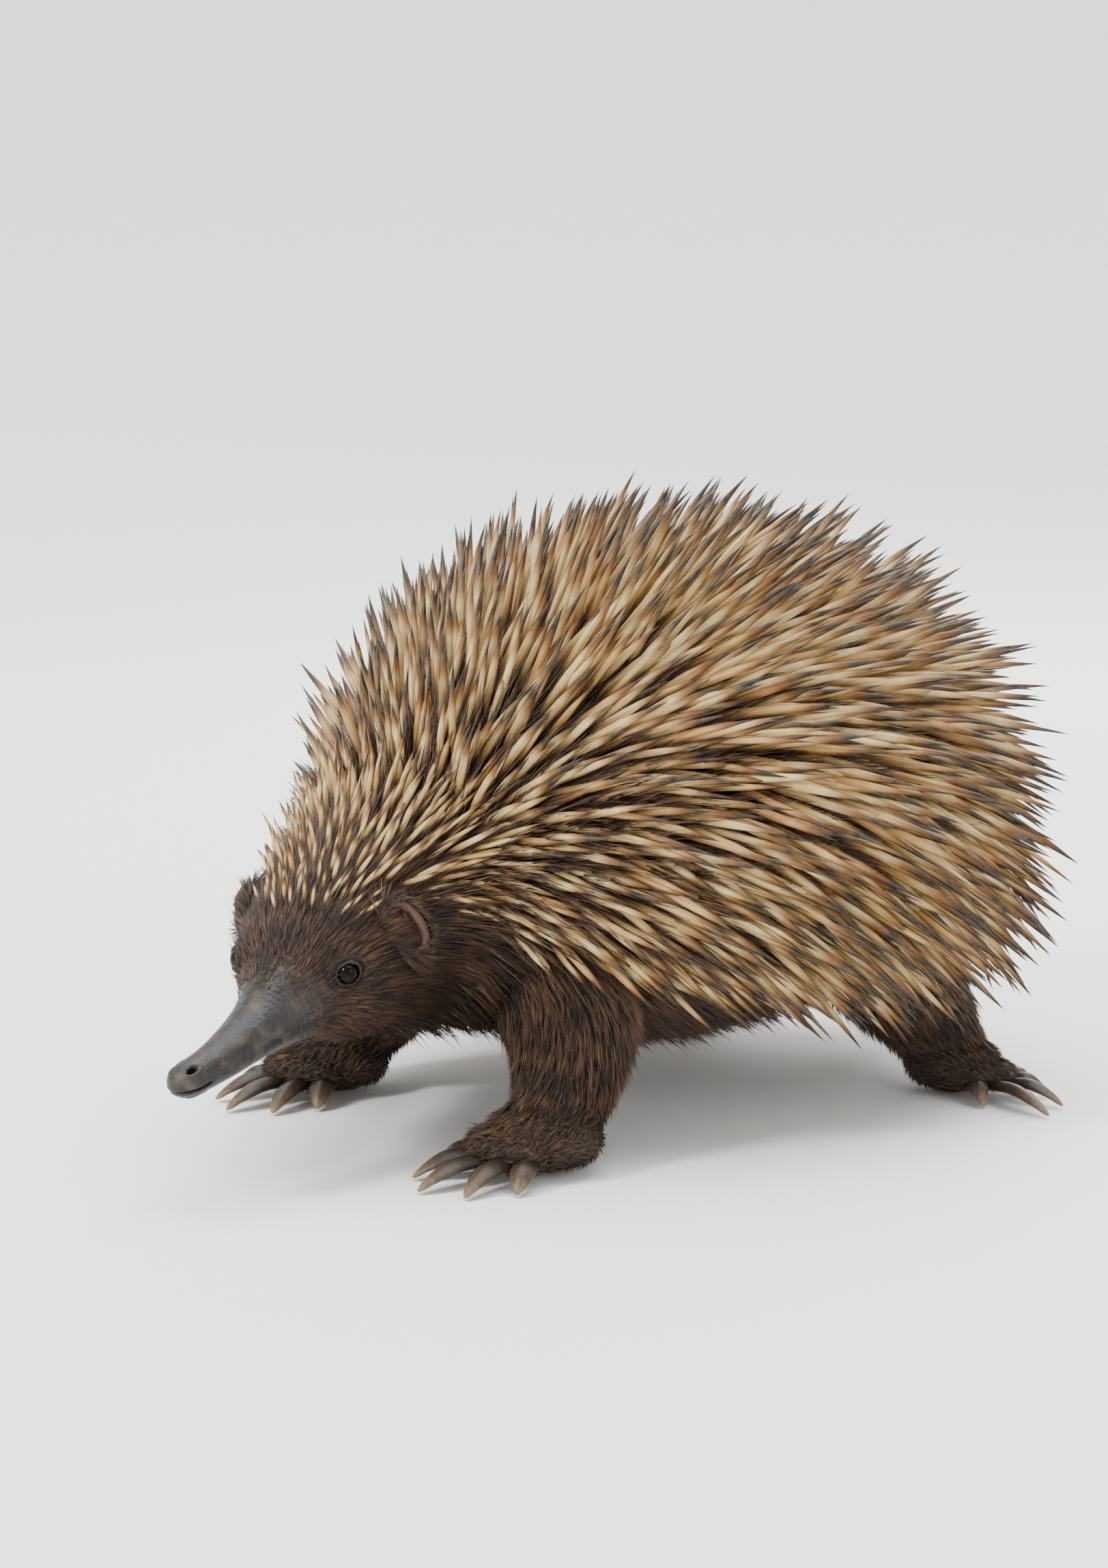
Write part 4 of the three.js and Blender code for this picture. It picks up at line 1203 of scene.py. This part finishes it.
def make_lids(name, side):
    """The lids round one eye."""
    skin, forward, up, out = eye_spot(side)
    turn = full_turn(LID_SIDES)
    flat = forward * np.cos(turn)[:, None] * LID_WIDE + up * np.sin(turn)[:, None] * LID_HIGH
    rings = []
    for wide, high in LID_PROFILE:
        pucker = 1 + 0.03 * np.sin(7 * turn + wide) + 0.02 * np.sin(13 * turn)
        rings.append(skin + flat * (wide * MM * pucker)[:, None] + out * high * MM)
    faces = []
    for i in range(len(rings)):
        faces += band(i * LID_SIDES, ((i + 1) % len(rings)) * LID_SIDES, LID_SIDES)
    lids = mesh_object(f"lids_{name}", np.vstack(rings), faces)
    rounder = lids.modifiers.new("rounder", "SUBSURF")
    rounder.levels = rounder.render_levels = 1
    finished(lids)
    lids.data.shade_smooth()
    lids.data.materials.append(lid_skin)
    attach(lids, "root")


for name, side in SIDES.items():
    make_eye(name, side)
    make_lids(name, side)

# The claws: long blades of horn for digging, dark at the root and worn pale and blunt at the tip. The
# second hind claw is the longest, for combing between the spines.
CLAW_SIDES = 32
CLAW_POINT = 0.32  # how much narrower a claw is drawn out towards the tip

# Round a claw from its top: a low keel, a flat flank, a sharp lower edge and a hollow underside.
CLAW_TURNS = np.radians([0, 22, 45, 70, 98, 125, 155, 180, 205, 235, 262, 290, 315, 338, 360])
CLAW_SHAPE = [0.1, -0.02, -0.08, 0.0, 0.08, -0.1, -0.35, -0.42, -0.35, -0.1, 0.08, 0.0, -0.08, -0.02, 0.1]
blunt_end = 0.86 + 0.14 * np.sin(np.linspace(0, math.pi / 2, 13)[:-1])
claw_shares = np.concatenate([np.linspace(0, 0.86, 26)[:-1], blunt_end])

# Horn worn by digging: satin and finely mottled, nearly black at the root and the colour of dry horn at
# the tip.
HORN_MOTTLE = 1.6 * MM
horn, tree = new_material("worn claw horn")
along = add(tree, "ShaderNodeAttribute", attribute_name="along").outputs["Fac"]
where = add(tree, "ShaderNodeTexCoord").outputs["Object"]
mottle = add(tree, "ShaderNodeTexNoise", {"Vector": where, "Scale": 1 / HORN_MOTTLE, "Detail": 5.0})
uneven = add(tree, "ShaderNodeMath", {0: mottle, 1: 0.3}, operation="MULTIPLY")
place = add(tree, "ShaderNodeMath", {0: along, 1: 0.75, 2: uneven}, operation="MULTIPLY_ADD")
colour = add(tree, "ShaderNodeValToRGB", {"Fac": place}, [
    (0.2, 0x100C0A), (0.45, 0x231B15), (0.68, 0x44362A), (0.93, 0x7D6A4C),
])
fine = add(tree, "ShaderNodeBump", {"Height": mottle, "Strength": 0.3, "Distance": 0.2 * MM})
shader = add(tree, "ShaderNodeBsdfPrincipled", {
    "Base Color": colour, "Roughness": 0.42, "IOR": 1.54, "Specular IOR Level": 0.28, "Normal": fine,
})
add(tree, "ShaderNodeOutputMaterial", {"Surface": shader})

share = np.append(np.repeat(claw_shares, CLAW_SIDES), [0, 1])
turn = np.append(np.tile(full_turn(CLAW_SIDES), len(claw_shares)), [0, 0])
groove = 1 + np.interp(turn, CLAW_TURNS, CLAW_SHAPE) * soft_step(share, 1.0, 0.7)
groove *= 1 - CLAW_POINT * soft_step(share, 0.5, 1.0)
for limb_name, limb in limbs.items():
    for i, claw in enumerate(limb["claws"]):
        claw_points, faces = claw.shell(claw_shares, CLAW_SIDES)
        centre = claw.read(share)[:, :3]
        claw_points = centre + (claw_points - centre) * groove[:, None]
        node = limb_name.replace("leg", "claw") + f"_{i + 1}"
        piece = mesh_object(f"{node}_horn", claw_points, faces)
        store(piece.data, {"along": share})
        piece.data.shade_smooth()
        piece.data.materials.append(horn)
        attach(piece, "root")
        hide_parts(node)

# The studio: a pale paper floor that curves up all round, so that no horizon shows. One broad lamp hangs
# overhead, a small one ahead of the animal puts the light in its eyes, and weak ones at its left and
# behind it brighten the edges of the spines.
FLOOR_FLAT = 1.8
FLOOR_CURVE = 2.6
FLOOR_WALL = 4.5
FLOOR_SIDES = 96
floor_profile = [(FLOOR_FLAT * share, 0) for share in (0.2, 0.5, 1)]
for turn in np.linspace(0.1, math.pi / 2, 16):
    floor_profile.append((FLOOR_FLAT + FLOOR_CURVE * math.sin(turn), FLOOR_CURVE * (1 - math.cos(turn))))
floor_profile.append((FLOOR_FLAT + FLOOR_CURVE, FLOOR_WALL))
floor_points = [(0, 0, 0)]
for radius, high in floor_profile:
    for turn in full_turn(FLOOR_SIDES):
        floor_points.append((radius * math.cos(turn), radius * math.sin(turn), high))
floor_faces = [(0, 1 + j, 1 + (j + 1) % FLOOR_SIDES) for j in range(FLOOR_SIDES)]
for i in range(len(floor_profile) - 1):
    floor_faces += band(1 + i * FLOOR_SIDES, 1 + (i + 1) * FLOOR_SIDES, FLOOR_SIDES)
floor = mesh_object("floor", floor_points, floor_faces)
floor.data.shade_smooth()
paper, tree = new_material("matt white paper")
shader = add(tree, "ShaderNodeBsdfPrincipled", {"Base Color": linear(0xF7F6F4), "Roughness": 0.9})
add(tree, "ShaderNodeOutputMaterial", {"Surface": shader})
floor.data.materials.append(paper)

LIT_AT = (0, 0, 0.08)

# Each lamp: where it hangs and how wide it is, in metres, and its power in watts.
LAMPS = {
    "top": ((-0.3, 0.5, 3.2), 3.4, 215),
    "key": ((-0.3, -1.8, 1.5), 0.42, 38),
    "side": ((2.0, -0.3, 0.9), 0.8, 8),
    "back": ((-0.9, 1.7, 1.2), 0.8, 24),
}
for name, (at, size, power) in LAMPS.items():
    light = bpy.data.lights.new(name, "AREA")
    light.size = size
    light.energy = power
    lamp = bpy.data.objects.new(name, light)
    lamp.location = at
    lamp.rotation_euler = (Vector(LIT_AT) - Vector(at)).to_track_quat("-Z", "Y").to_euler()
    bpy.context.scene.collection.objects.link(lamp)

world = bpy.data.worlds.new("studio")
world.use_nodes = True
world.node_tree.nodes["Background"].inputs["Color"].default_value = linear(0xF4F5F7)
world.node_tree.nodes["Background"].inputs["Strength"].default_value = 0.68
bpy.context.scene.world = world

# The camera: a short telephoto lens a little over a metre away, low at the animal's left front, as it is
# drawn.
CAMERA_AZIMUTH = math.radians(48)
CAMERA_ELEVATION = math.radians(8)
CAMERA_DISTANCE = 1.1253
CAMERA_TARGET = Vector((-0.0031, -0.0035, 0.1188))
camera_data = bpy.data.cameras.new("camera")
camera_data.lens = 70
camera_data.sensor_width = 36
camera = bpy.data.objects.new("camera", camera_data)
level, high = math.cos(CAMERA_ELEVATION), math.sin(CAMERA_ELEVATION)
away = Vector((math.sin(CAMERA_AZIMUTH) * level, -math.cos(CAMERA_AZIMUTH) * level, high))
camera.location = CAMERA_TARGET + CAMERA_DISTANCE * away
camera.rotation_euler = (-away).to_track_quat("-Z", "Y").to_euler()
bpy.context.scene.collection.objects.link(camera)
bpy.context.scene.camera = camera
